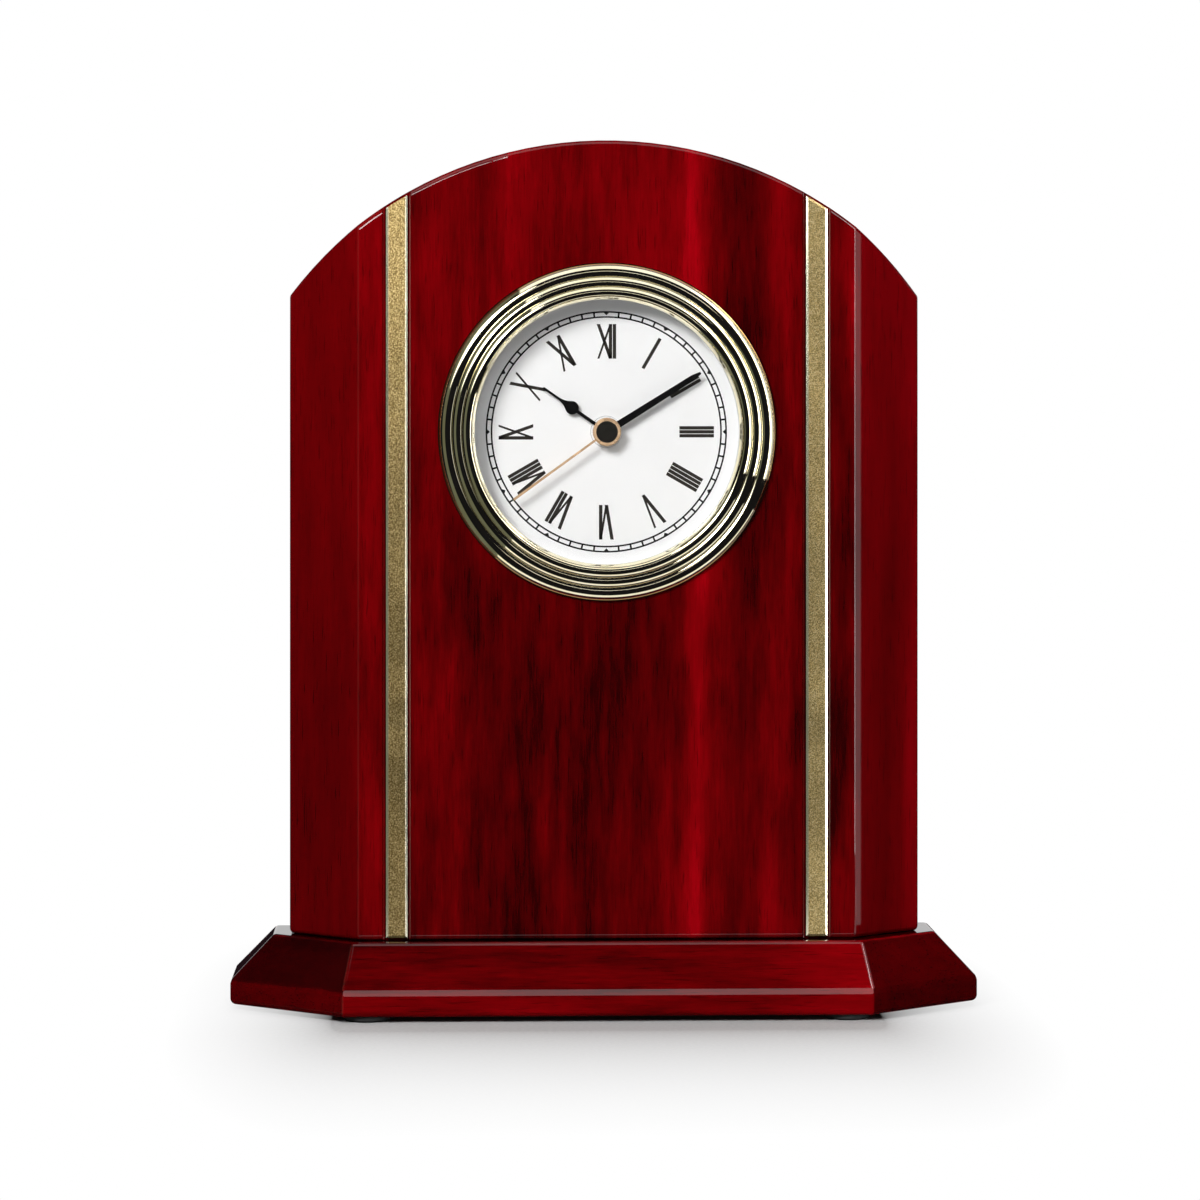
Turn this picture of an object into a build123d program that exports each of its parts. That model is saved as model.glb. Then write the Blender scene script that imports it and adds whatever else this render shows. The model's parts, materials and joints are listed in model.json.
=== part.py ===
"""Arch-top mantel clock: a lacquered wooden case on a bevelled plinth, with a push-in quartz insert.

Millimetres, +Z up, front towards -Y, origin on the table under the middle of the plinth. Depths are
measured from the front face of the case, positive towards the back, and dial positions from the hands' axis.
"""

import os
from math import atan2, cos, isclose, pi, radians, sin, sqrt, tan

from build123d import *

# Case and plinth
foot_height = 1.5
foot_radius = 6.0
foot_inset = 14.0
corner_angle = 38.2
plinth_width = 191.8
plinth_corner_width = 29.3
plinth_thickness = 18.0
plinth_edge_height = 6.2
plinth_front_run = 6.7
plinth_side_run = 11.1
plinth_front_margin = 3.4
plinth_back_margin = 4.4
plinth_round = 1.6
ridge_facet = 1.5
body_width = 161.4
body_depth = 26.0
body_corner_width = 17.8
shoulder_height = 163.3
arch_rise = 39.1
body_round = 1.3
bore_chamfer = 0.8
dial_rise = 128.5
strip_offset = 53.2
strip_width = 5.4
strip_proud = 0.4
strip_bevel = 0.55
strip_bevel_drop = 0.2
strip_side_gap = 0.35
strip_end_gap = 0.7
groove_depth = 1.5
groove_round = 0.6
plinth_screw_spacing = 110.0
plinth_screw_radius = 2.2
plinth_screw_head_radius = 4.4
plinth_screw_grip = 24.0

# Insert front: bezel, glass, dial
bezel_flange = 0.3
bezel_edge = 0.7
outer_bead_width = 3.1
middle_bead_width = 2.5
inner_bead_width = 2.4
bead_lean = 18.4
bead_half_angle = 44.0
lip_run = 1.05
lip_drop = 1.5
lip_cover = 2.5
skirt_wall = 1.1
skirt_depth = 5.6
lens_thickness = 1.8
lens_back = 0.4
dial_depth = 5.0
dial_thickness = 0.5
surround_wall = 1.6
surround_flare = 0.7
grip_ring_length = 9.0
grip_wall = 1.65
grip_gap = 0.35
grip_rib_count = 4
grip_groove = 0.5

# Movement case and its plates
housing_wall = 1.6
cover_thickness = 1.6
cover_room = 1.9
plate_thickness = 1.0
plate_rim = 3.0
cover_post_radius = 2.6
cover_post_inset = 3.0
cover_post_angles = (90.0, 202.0, 338.0)
plate_post_radius = 2.2
plate_posts = ((-18.5, -9.0), (15.0, 15.0), (-13.0, 22.5))
bridge_post_radius = 1.8
bridge_post_gap = 0.75
right_post_bearing = -28.0
top_post_bearing = 111.0
left_post_bearing = 256.0
small_screw_radius = 0.8
small_screw_head = 1.5
small_screw_head_height = 0.7
small_screw_length = 4.0

# Gear train: tooth counts from the rotor to the hour hand
rotor_leaves = 10
fifth_teeth = 60
fifth_leaves = 10
seconds_teeth = 50
seconds_leaves = 8
third_teeth = 60
third_leaves = 8
centre_teeth = 64
cannon_leaves = 12
minute_teeth = 36
minute_leaves = 10
hour_teeth = 40
rotor_module = 0.25
fifth_module = 0.30
seconds_module = 0.35
cannon_module = 0.40
rotor_bearing = 150.0
wheel_thickness = 0.9
layer_gap = 0.6
wheel_tooth = (1.05, 1.40, 1.00, 0.34)
pinion_tooth = (0.85, 1.45, 0.55, 0.34)
fine_pivot_radius = 0.45
third_arbor_radius = 0.55
seconds_arbor_radius = 0.70
cannon_tube_radius = 1.58
hour_tube_radius = 2.50
minute_stud_radius = 0.70
setting_shaft_radius = 1.50
running_clearance = 0.08
press_clearance = 0.01
bushing_wall = 1.4

# Stepping motor, board and cell
magnet_radius = 2.8
magnet_length = 2.4
stator_gap = 0.5
stator_standoff = 1.0
stator_thickness = 0.8
stator_half_width = 4.6
stator_half_height = 10.0
stator_arm = 3.0
coil_inset = 7.4
coil_width = 6.0
coil_depth = 3.4
coil_length = 13.6
core_width = 3.0
board_size = (11.0, 12.0)
board_inset = 5.9
board_rise = 11.0
board_thickness = 1.0
board_room = 7.5
board_post_radius = 1.6
board_post_inset = 2.5
crystal_radius = 1.0
crystal_length = 6.0
chip_radius = 2.4
chip_height = 0.9
cell_radius = 5.25
cell_length = 43.5
cell_nub_radius = 1.9
cell_nub_length = 1.0
cell_clearance = 0.3
contact_thickness = 0.4
contact_bump = 1.2
contact_width = 6.0
rib_thickness = 1.2
partition_gap = 0.75
hatch_clearance = 0.3
hatch_flange = 1.2
hatch_flange_thickness = 0.8
hatch_corner = 2.0
hatch_margin = 1.55
hatch_grip_height = 0.7

# Setting knob
knob_radius = 5.0
knob_thickness = 2.6
knob_gap = 0.3
knob_flutes = 16
knob_flute_radius = 0.5

# Hands, and the time that they show at rest
shown_hours = 10
shown_minutes = 9
shown_seconds = 39
hand_thickness = 0.35
hand_gap = 0.65
hour_hand_length = 19.6
hour_stem_width = 0.85
hour_hub_radius = 3.3
spade_start = 9.0
spade_widest = 10.7
spade_end = 15.4
spade_width = 3.4
spade_point_width = 0.6
minute_hand_length = 28.2
minute_hub_radius = 3.0
minute_hub_width = 1.85
minute_shoulder = 25.8
minute_shoulder_width = 1.45
minute_tip_width = 0.6
second_hand_length = 29.2
second_hub_width = 0.55
second_tip_width = 0.65
boss_radius = 3.6
boss_height = 0.7
cap_radius = 2.75
cap_height = 0.25

# Places worked out from the sizes above
plinth_depth = plinth_front_run * 2 + plinth_front_margin + body_depth + plinth_back_margin
plinth_front = -plinth_depth / 2
body_front = plinth_front + plinth_front_run + plinth_front_margin
body_back = body_front + body_depth
body_middle = (body_front + body_back) / 2
body_bottom = foot_height + plinth_thickness
body_half = body_width / 2
arch_radius = (body_half**2 + arch_rise**2) / (2 * arch_rise)
arch_centre = body_bottom + shoulder_height + arch_rise - arch_radius
crown = arch_centre + arch_radius
dial_height = body_bottom + dial_rise
groove_width = strip_width + 2 * strip_side_gap

dial_back = dial_depth + dial_thickness
inner_face = dial_back + housing_wall
layer_pitch = wheel_thickness + layer_gap
hour_layer = inner_face + layer_gap
minute_layer = hour_layer + layer_pitch
centre_layer = minute_layer + layer_pitch
plate_front = centre_layer + layer_pitch
plate_back = plate_front + plate_thickness
third_layer = plate_back + layer_gap
seconds_layer = third_layer + layer_pitch
fifth_layer = seconds_layer + layer_pitch
bridge_front = fifth_layer + layer_pitch
bridge_back = bridge_front + plate_thickness
cover_front = bridge_back + cover_room
cover_back = cover_front + cover_thickness
bushing_radius = hour_tube_radius + running_clearance + bushing_wall

fifth_distance = fifth_module * (fifth_leaves + seconds_teeth) / 2
rotor_distance = rotor_module * (rotor_leaves + fifth_teeth) / 2
third_distance = seconds_module * (seconds_leaves + third_teeth) / 2
third_module = 2 * third_distance / (third_leaves + centre_teeth)
minute_distance = cannon_module * (cannon_leaves + minute_teeth) / 2
hour_module = 2 * minute_distance / (minute_leaves + hour_teeth)
hands_axis = (0.0, 0.0)
third_axis = (0.0, third_distance)
fifth_axis = (-fifth_distance, 0.0)
rotor_axis = (
    fifth_axis[0] + rotor_distance * cos(radians(rotor_bearing)),
    fifth_axis[1] + rotor_distance * sin(radians(rotor_bearing)),
)
minute_axis = (minute_distance, 0.0)
setting_axis = (2 * minute_distance, 0.0)
third_tip = seconds_module * (third_teeth / 2 + wheel_tooth[0])
fifth_tip = rotor_module * (fifth_teeth / 2 + wheel_tooth[0])
bridge_posts = []
for axis, tip, bearing in (
    (third_axis, third_tip, right_post_bearing),
    (third_axis, third_tip, top_post_bearing),
    (fifth_axis, fifth_tip, left_post_bearing),
):
    reach = tip + bridge_post_gap + bridge_post_radius
    bridge_posts.append((axis[0] + reach * cos(radians(bearing)), axis[1] + reach * sin(radians(bearing))))

# The cell lies under the train, the housing goes round the cell hatch, and the bezel covers the bore
plate_bottom = min(post[1] for post in (*plate_posts, *bridge_posts)) - plate_rim
partition_bottom = plate_bottom - partition_gap - rib_thickness
cell_drop = cell_radius + cell_clearance - partition_bottom
cell_total = cell_length + cell_nub_length
cell_wall = cell_total / 2 + contact_bump + contact_thickness
hatch_width = cell_total + 2 * cell_clearance
hatch_height = 2 * (cell_radius + cell_clearance)
insert_radius = sqrt((hatch_width / 2) ** 2 + (cell_drop + hatch_height / 2) ** 2) + hatch_margin
cavity_radius = insert_radius - housing_wall
cover_post_circle = cavity_radius - cover_post_inset
coil_column = coil_inset - cavity_radius
board_centre = (cavity_radius - board_inset - board_size[0] / 2, board_rise)
grip_outer = insert_radius + grip_wall
bore_radius = grip_outer + grip_gap
lip_inner = insert_radius - lip_cover
bead_widths = (outer_bead_width, middle_bead_width, inner_bead_width)
bezel_radius = lip_inner + lip_run + sum(bead_widths) + bezel_flange

hour_hand_front = dial_depth - hand_gap - bushing_wall / 2
minute_hand_front = hour_hand_front - hand_thickness - hand_gap
second_hand_front = minute_hand_front - hand_thickness - hand_gap
hour_turn = 30.0 * (shown_hours + shown_minutes / 60 + shown_seconds / 3600)
minute_turn = 6.0 * (shown_minutes + shown_seconds / 60)
second_turn = 6.0 * shown_seconds

stator_front = plate_back + stator_standoff
stator_back = stator_front + stator_thickness
cell_depth = cover_front - cell_clearance - cell_radius
board_front = inner_face + board_room

os.makedirs("parts", exist_ok=True)


def save(builder, node):
    """Label a finished piece and write it."""
    builder.part.label = node
    export_step(builder.part, f"parts/{node}.step")


def front_plane(depth, axis=hands_axis, turn=0.0):
    """Plane facing the viewer at a depth, centred on an arbor; a turn runs clockwise on the dial."""
    across = (cos(radians(turn)), 0, -sin(radians(turn)))
    place = (axis[0], body_front + depth, dial_height + axis[1])
    return Plane(origin=place, x_dir=across, z_dir=(0, -1, 0))


def disc(radius, back, axis=hands_axis, bore=0.0):
    """Round face seen from the front, with or without a bore."""
    with BuildSketch(front_plane(back, axis)) as face:
        Circle(radius)
        if bore > 0:
            Circle(bore, mode=Mode.SUBTRACT)
    return face.sketch


def toothed(teeth, module, tooth, back, axis, first_tooth, bore=0.0):
    """Face of a clock wheel or pinion with straight-sided teeth, one of them at first_tooth degrees."""
    pitch_radius = teeth * module / 2
    addendum, dedendum, root_half, tip_half = (share * module for share in tooth)
    corners = (
        (pitch_radius - dedendum, -root_half),
        (pitch_radius + addendum, -tip_half),
        (pitch_radius + addendum, tip_half),
        (pitch_radius - dedendum, root_half),
    )
    points = []
    for number in range(teeth):
        middle = radians(first_tooth) + 2 * pi * number / teeth
        for radius, half in corners:
            angle = middle + half / radius
            points.append((radius * cos(angle), radius * sin(angle)))
    with BuildSketch(front_plane(back, axis)) as face:
        with BuildLine():
            Polyline(*points, close=True)
        make_face()
        if bore > 0:
            Circle(bore, mode=Mode.SUBTRACT)
    return face.sketch


def arch_outline(inset=0.0):
    """Front outline of the case body, drawn in by an inset all along the arch and the sides."""
    half = body_half - inset
    spring = arch_centre + sqrt((arch_radius - inset) ** 2 - half**2)
    with BuildSketch(Plane.XZ) as face:
        with BuildLine():
            Polyline((-half, spring), (-half, body_bottom), (half, body_bottom), (half, spring))
            ThreePointArc((half, spring), (0, crown - inset), (-half, spring))
        make_face()
    return face.sketch


def canted_outline(height, front_half, half, front, corner_back, back):
    """Plan outline with canted front corners, at a height."""
    with BuildSketch(Plane.XY.offset(height)) as face:
        with BuildLine():
            Polyline(
                (-front_half, front),
                (front_half, front),
                (half, corner_back),
                (half, back),
                (-half, back),
                (-half, corner_back),
                close=True,
            )
        make_face()
    return face.sketch


# Case body: arched slab with canted front corners, strip grooves and the bore for the insert
corner_slope = tan(radians(corner_angle))
body_front_half = body_half - body_corner_width
body_corner_back = body_front + body_corner_width * corner_slope
with BuildPart() as case_body:
    extrude(
        canted_outline(body_bottom, body_front_half, body_half, body_front, body_corner_back, body_back),
        amount=crown - body_bottom,
    )
    extrude(arch_outline(), amount=plinth_depth, both=True, mode=Mode.INTERSECT)
    fillet(case_body.edges(), radius=body_round)
    for side in (-1, 1):
        with BuildSketch(Plane.XY.offset(body_bottom)):
            with BuildLine():
                left = side * strip_offset - groove_width / 2
                right = side * strip_offset + groove_width / 2
                floor = body_front + groove_depth
                mouth = body_front + groove_round
                outside = body_front - groove_depth
                Polyline((left, mouth), (left, floor), (right, floor), (right, mouth))
                RadiusArc((right, mouth), (right + groove_round, body_front), groove_round)
                Polyline(
                    (right + groove_round, body_front),
                    (right + groove_round, outside),
                    (left - groove_round, outside),
                    (left - groove_round, body_front),
                )
                RadiusArc((left - groove_round, body_front), (left, mouth), groove_round)
            make_face()
        extrude(amount=crown - body_bottom, mode=Mode.SUBTRACT)
    with Locations(front_plane(0)):
        Hole(bore_radius, depth=body_depth)
    round_edges = case_body.edges().filter_by(GeomType.CIRCLE)
    bore_edges = round_edges.filter_by(lambda edge: isclose(edge.radius, bore_radius))
    chamfer(bore_edges.sort_by(Axis.Y)[-1], length=bore_chamfer)
    with Locations(Plane(origin=(0, body_middle, body_bottom), z_dir=(0, 0, -1))):
        with GridLocations(plinth_screw_spacing, 1, 2, 1):
            Hole(plinth_screw_radius + press_clearance, depth=plinth_screw_grip)
save(case_body, "case_body")

# Plinth: vertical edge below, bevelled all round above, with a flat facet along the ridge between them
plinth_half = plinth_width / 2
plinth_front_half = plinth_half - plinth_corner_width
plinth_corner_back = plinth_front + plinth_corner_width * corner_slope
top_front = plinth_front + plinth_front_run
top_half = plinth_half - plinth_side_run
corner_shift = plinth_front_run / cos(radians(corner_angle))
top_front_half = plinth_front_half - (corner_shift - plinth_front_run) / corner_slope
top_corner_back = top_front + (top_half - top_front_half) * corner_slope
bevel_bottom = foot_height + plinth_edge_height
cant_bearing = corner_angle - 90
cant_reach = plinth_front_half * cos(radians(cant_bearing)) + plinth_front * sin(radians(cant_bearing))
ridges = (
    (-90, -plinth_front, plinth_front_run),
    (cant_bearing, cant_reach, plinth_front_run),
    (180 - cant_bearing, cant_reach, plinth_front_run),
    (0, plinth_half, plinth_side_run),
    (180, plinth_half, plinth_side_run),
    (90, -plinth_front, plinth_front_run),
)
with BuildPart() as base_plinth:
    extrude(
        canted_outline(
            foot_height, plinth_front_half, plinth_half, plinth_front, plinth_corner_back, -plinth_front
        ),
        amount=plinth_edge_height,
    )
    loft(
        [
            canted_outline(
                bevel_bottom, plinth_front_half, plinth_half, plinth_front, plinth_corner_back, -plinth_front
            ),
            canted_outline(
                body_bottom, top_front_half, top_half, top_front, top_corner_back, -top_front
            ),
        ],
        ruled=True,
    )
    fillet(base_plinth.edges(), radius=plinth_round)
    for bearing, reach, run in ridges:
        outward = Vector(cos(radians(bearing)), sin(radians(bearing)), 0)
        tilt = atan2(run, plinth_thickness - plinth_edge_height) / 2
        facing = outward * cos(tilt) + Vector(0, 0, sin(tilt))
        on_facet = outward * reach + Vector(0, 0, bevel_bottom) - facing * (ridge_facet / 2 * tan(tilt))
        split(bisect_by=Plane(origin=on_facet, z_dir=facing), keep=Keep.BOTTOM)
    with Locations(Plane(origin=(0, body_middle, foot_height), z_dir=(0, 0, -1))):
        with GridLocations(plinth_screw_spacing, 1, 2, 1):
            CounterSinkHole(
                plinth_screw_radius + running_clearance,
                plinth_screw_head_radius + running_clearance,
                counter_sink_angle=90,
            )
save(base_plinth, "base_plinth")

# Metal trim strips with bevelled front edges, cut to the arch at the top
for node, side in (("left_trim_strip", -1), ("right_trim_strip", 1)):
    with BuildPart() as trim_strip:
        with BuildSketch(Plane.XY.offset(body_bottom + strip_end_gap)):
            with BuildLine():
                left = side * strip_offset - strip_width / 2
                right = side * strip_offset + strip_width / 2
                face_front = body_front - strip_proud
                Polyline(
                    (left, body_front + groove_depth),
                    (left, face_front + strip_bevel_drop),
                    (left + strip_bevel, face_front),
                    (right - strip_bevel, face_front),
                    (right, face_front + strip_bevel_drop),
                    (right, body_front + groove_depth),
                    close=True,
                )
            make_face()
        extrude(amount=crown - body_bottom)
        extrude(arch_outline(strip_end_gap), amount=plinth_depth, both=True, mode=Mode.INTERSECT)
        for end in (0, -1):
            end_face = trim_strip.faces().sort_by(Axis.Z)[end]
            front_edge = end_face.edges().sort_by(Axis.Y)[0]
            chamfer(front_edge, length=strip_bevel_drop, length2=strip_bevel, reference=end_face)
    save(trim_strip, node)

# Wood screws that hold the body on the plinth
with BuildPart() as base_screws:
    for side in (-1, 1):
        place = (side * plinth_screw_spacing / 2, body_middle, foot_height)
        with BuildSketch(Plane(origin=place, x_dir=(1, 0, 0), z_dir=(0, -1, 0))):
            with BuildLine():
                head_height = plinth_screw_head_radius - plinth_screw_radius
                tip = plinth_thickness + plinth_screw_grip
                Polyline(
                    (0, 0),
                    (plinth_screw_head_radius, 0),
                    (plinth_screw_radius, head_height),
                    (plinth_screw_radius, tip - 2 * plinth_screw_radius),
                    (0, tip),
                    close=True,
                )
            make_face()
        revolve(axis=Axis(place, (0, 0, 1)))
save(base_screws, "base_screws")

# Rubber feet under the plinth
with BuildPart() as base_feet:
    foot_along = plinth_depth / 2 - plinth_round - foot_radius
    front_across = plinth_front_half - foot_radius
    back_across = plinth_half - plinth_round - foot_inset - foot_radius
    with BuildSketch():
        with Locations((-front_across, -foot_along), (front_across, -foot_along)):
            Circle(foot_radius)
        with Locations((-back_across, foot_along), (back_across, foot_along)):
            Circle(foot_radius)
    extrude(amount=foot_height)
    chamfer(base_feet.edges().group_by(Axis.Z)[0], length=foot_height / 3)
save(base_feet, "base_feet")

# Bezel: thin flange, three stepped beads, a sloping lip over the glass and a skirt that enters the bore
skirt_inner = insert_radius + running_clearance
lens_front = lens_back - lens_thickness
section = Plane(origin=(0, body_front, dial_height), x_dir=(1, 0, 0), z_dir=(0, 0, -1))
dial_line = Axis((0, body_front, dial_height), (0, 1, 0))
with BuildPart() as bezel:
    with BuildSketch(section):
        with BuildLine():
            flange_edge = Vector(bezel_radius, bezel_edge)
            outer = flange_edge - Vector(bezel_flange, 0)
            Line(flange_edge, outer)
            for bead_width in bead_widths:
                bead_rise = bead_width * tan(radians(bead_lean))
                inner = outer + Vector(-bead_width, bead_rise)
                bulge = Vector(bead_rise, bead_width) * tan(radians(bead_half_angle / 2)) / 2
                ThreePointArc(outer, (outer + inner) / 2 + bulge, inner)
                outer = inner
            Polyline(
                inner,
                (lip_inner, inner.Y - lip_drop),
                (lip_inner, -lens_front),
                (skirt_inner, -lens_front),
                (skirt_inner, -skirt_depth),
                (skirt_inner + skirt_wall, -skirt_depth),
                (skirt_inner + skirt_wall, 0),
                (bezel_radius, 0),
                flange_edge,
            )
        make_face()
    revolve(axis=dial_line)
save(bezel, "bezel")

with BuildPart() as lens:
    extrude(disc(insert_radius, lens_back), amount=lens_thickness)
save(lens, "lens")

# Pale wall between the glass and the dial
with BuildPart() as dial_surround:
    with BuildSketch(section):
        with BuildLine():
            Polyline(
                (insert_radius, -lens_back),
                (insert_radius, -dial_depth),
                (insert_radius - surround_wall - surround_flare, -dial_depth),
                (insert_radius - surround_wall, -lens_back),
                close=True,
            )
        make_face()
    revolve(axis=dial_line)
save(dial_surround, "dial_surround")

with BuildPart() as dial:
    extrude(disc(insert_radius, dial_back, bore=bushing_radius + running_clearance), amount=dial_thickness)
save(dial, "dial")

# Movement housing: round cup with the centre bushing, posts, pivot holes and the cell compartment
with BuildPart() as movement_housing:
    extrude(disc(insert_radius, cover_front), amount=cover_front - dial_back)
    extrude(disc(cavity_radius, cover_front), amount=cover_front - inner_face, mode=Mode.SUBTRACT)
    with BuildSketch(front_plane(cover_front)):
        with Locations((0, partition_bottom + rib_thickness / 2)):
            Rectangle(2 * insert_radius, rib_thickness)
        for side in (-1, 1):
            with Locations((side * (cell_wall + rib_thickness / 2), partition_bottom)):
                Rectangle(rib_thickness, insert_radius, align=(Align.CENTER, Align.MAX))
        Circle(insert_radius - housing_wall / 2, mode=Mode.INTERSECT)
    extrude(amount=cover_front - inner_face)
    with BuildSketch(front_plane(cell_depth)):
        for side in (-1, 1):
            with Locations((side * cell_length / 4, partition_bottom)):
                Rectangle(rib_thickness, insert_radius, align=(Align.CENTER, Align.MAX))
        Circle(insert_radius - housing_wall / 2, mode=Mode.INTERSECT)
    extrude(amount=cell_depth - inner_face)
    with BuildSketch(Plane(origin=(0, body_front + cell_depth, dial_height - cell_drop), z_dir=(1, 0, 0))):
        Circle(cell_radius + press_clearance)
    extrude(amount=cell_length / 2, both=True, mode=Mode.SUBTRACT)
    extrude(disc(bushing_radius, dial_back), amount=dial_thickness + bushing_wall / 2)
    for post in plate_posts:
        extrude(disc(plate_post_radius, plate_front, post), amount=plate_front - inner_face)
    for side in (-1, 1):
        board_post = (
            board_centre[0] + side * (board_size[0] / 2 - board_post_inset),
            board_centre[1] - side * (board_size[1] / 2 - board_post_inset),
        )
        extrude(disc(board_post_radius, board_front, board_post), amount=board_front - inner_face)
    with BuildSketch(front_plane(cover_front)):
        for angle in cover_post_angles:
            with PolarLocations(cover_post_circle, 1, start_angle=angle):
                Circle(cover_post_radius)
    extrude(amount=cover_front - inner_face)
    stud_end = minute_layer + layer_pitch - layer_gap / 2
    extrude(disc(minute_stud_radius, stud_end, minute_axis), amount=stud_end - inner_face)
    hour_bore = hour_tube_radius + running_clearance
    extrude(disc(hour_bore, inner_face), amount=inner_face, mode=Mode.SUBTRACT)
    for pivot, radius in ((third_axis, third_arbor_radius), (setting_axis, setting_shaft_radius)):
        extrude(
            disc(radius + running_clearance, inner_face, pivot),
            amount=housing_wall / 2,
            mode=Mode.SUBTRACT,
        )
    for post in plate_posts:
        extrude(
            disc(small_screw_radius + press_clearance, plate_front, post),
            amount=small_screw_length - plate_thickness + press_clearance,
            mode=Mode.SUBTRACT,
        )
    with BuildSketch(front_plane(cover_front)):
        for angle in cover_post_angles:
            with PolarLocations(cover_post_circle, 1, start_angle=angle):
                Circle(small_screw_radius + press_clearance)
    extrude(amount=small_screw_length, mode=Mode.SUBTRACT)
save(movement_housing, "movement_housing")

# Rubber ring that grips the bore
grip_front = skirt_depth
with BuildPart() as grip_ring:
    with BuildSketch(section):
        with BuildLine():
            rib_pitch = grip_ring_length / grip_rib_count
            outline = [(insert_radius + press_clearance, -grip_front)]
            for rib in range(grip_rib_count):
                top = -grip_front - rib * rib_pitch
                outline.append((grip_outer - grip_groove, top))
                outline.append((grip_outer, top - rib_pitch / 3))
                outline.append((grip_outer, top - rib_pitch * 2 / 3))
            outline.append((grip_outer - grip_groove, -grip_front - grip_ring_length))
            outline.append((insert_radius + press_clearance, -grip_front - grip_ring_length))
            Polyline(*outline, close=True)
        make_face()
    revolve(axis=dial_line)
save(grip_ring, "grip_ring")


def screw_set(seat, places):
    """A set of small screws with slotted heads, as one piece with separate solids."""
    with BuildPart() as screws:
        for place in places:
            extrude(
                disc(small_screw_head, seat + small_screw_head_height, place), amount=small_screw_head_height
            )
            extrude(disc(small_screw_radius, seat, place), amount=small_screw_length)
            with BuildSketch(front_plane(seat + small_screw_head_height, place)):
                Rectangle(2 * small_screw_head, small_screw_radius / 2)
            extrude(amount=small_screw_head_height / 2, mode=Mode.SUBTRACT)
    return screws


# Middle plate: carries the train, the stator and the posts of the bridge
arm_rise = stator_half_height - stator_arm / 2
stator_seats = (
    ((coil_column + rotor_axis[0]) / 2, rotor_axis[1] + arm_rise),
    ((coil_column + rotor_axis[0]) / 2, rotor_axis[1] - arm_rise),
)
with BuildPart() as middle_plate:
    with BuildSketch(front_plane(plate_back)):
        with Locations(*plate_posts, *bridge_posts, *stator_seats):
            Circle(plate_rim)
        make_hull()
    extrude(amount=plate_thickness)
    for post in bridge_posts:
        extrude(disc(bridge_post_radius, bridge_front, post), amount=bridge_front - plate_back)
    for seat in stator_seats:
        extrude(disc(stator_arm / 2, stator_front, seat), amount=stator_standoff)
    holes = (
        (hands_axis, seconds_arbor_radius + running_clearance),
        (fifth_axis, fine_pivot_radius + running_clearance),
        (rotor_axis, fine_pivot_radius + running_clearance),
        (third_axis, plate_rim),
        *((post, small_screw_radius + press_clearance) for post in plate_posts),
    )
    for place, radius in holes:
        extrude(disc(radius, plate_back, place), amount=plate_thickness, mode=Mode.SUBTRACT)
    for post in bridge_posts:
        extrude(
            disc(small_screw_radius + press_clearance, bridge_front, post),
            amount=small_screw_length - plate_thickness,
            mode=Mode.SUBTRACT,
        )
save(middle_plate, "middle_plate")

middle_plate_screws = screw_set(plate_back, plate_posts)
save(middle_plate_screws, "middle_plate_screws")

# Bridge: rear pivots of the train
with BuildPart() as train_bridge:
    with BuildSketch(front_plane(bridge_back)):
        with Locations(*bridge_posts, rotor_axis):
            Circle(plate_rim)
        make_hull()
    extrude(amount=plate_thickness)
    holes = (
        (hands_axis, seconds_arbor_radius + running_clearance),
        (third_axis, third_arbor_radius + running_clearance),
        (fifth_axis, fine_pivot_radius + running_clearance),
        (rotor_axis, fine_pivot_radius + running_clearance),
        *((post, small_screw_radius + press_clearance) for post in bridge_posts),
    )
    for place, radius in holes:
        extrude(disc(radius, bridge_back, place), amount=plate_thickness, mode=Mode.SUBTRACT)
save(train_bridge, "train_bridge")

bridge_screws = screw_set(bridge_back, bridge_posts)
save(bridge_screws, "bridge_screws")

# Stepping motor: stator, core and winding
arm_length = rotor_axis[0] - coil_column + core_width / 2
with BuildPart() as stator:
    with BuildSketch(front_plane(stator_back, rotor_axis)):
        Rectangle(2 * stator_half_width, 2 * stator_half_height)
        with Locations((0, arm_rise), (0, -arm_rise)):
            Rectangle(arm_length, stator_arm, align=(Align.MAX, Align.CENTER))
        Circle(magnet_radius + stator_gap, mode=Mode.SUBTRACT)
    extrude(amount=stator_thickness)
save(stator, "stator")

core_axis = (coil_column, rotor_axis[1])
core_back = stator_back + stator_thickness
with BuildPart() as coil_core:
    with BuildSketch(front_plane(core_back, core_axis)):
        Rectangle(core_width, 2 * stator_half_height)
    extrude(amount=stator_thickness)
save(coil_core, "coil_core")

coil_place = (coil_column, body_front + (stator_back + core_back) / 2, dial_height + rotor_axis[1])
with BuildPart() as coil_winding:
    with BuildSketch(Plane(origin=coil_place, x_dir=(1, 0, 0), z_dir=(0, 0, 1))):
        RectangleRounded(coil_width, coil_depth, coil_depth / 3)
        Rectangle(
            core_width + 2 * press_clearance, stator_thickness + 2 * press_clearance, mode=Mode.SUBTRACT
        )
    extrude(amount=coil_length / 2, both=True)
save(coil_winding, "coil_winding")

# Circuit board with its crystal and chip
board_back = board_front + board_thickness
with BuildPart() as circuit_board:
    with BuildSketch(front_plane(board_back, board_centre)):
        RectangleRounded(*board_size, crystal_radius)
    extrude(amount=board_thickness)
save(circuit_board, "circuit_board")

crystal_place = (
    board_centre[0] + board_size[0] / 2 - 2 * crystal_radius,
    body_front + board_back + crystal_radius + press_clearance,
    dial_height + board_centre[1],
)
with BuildPart() as quartz_crystal:
    with BuildSketch(Plane(origin=crystal_place, z_dir=(0, 0, 1))):
        Circle(crystal_radius)
    extrude(amount=crystal_length / 2, both=True)
    fillet(quartz_crystal.edges(), radius=crystal_radius / 4)
save(quartz_crystal, "quartz_crystal")

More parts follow.
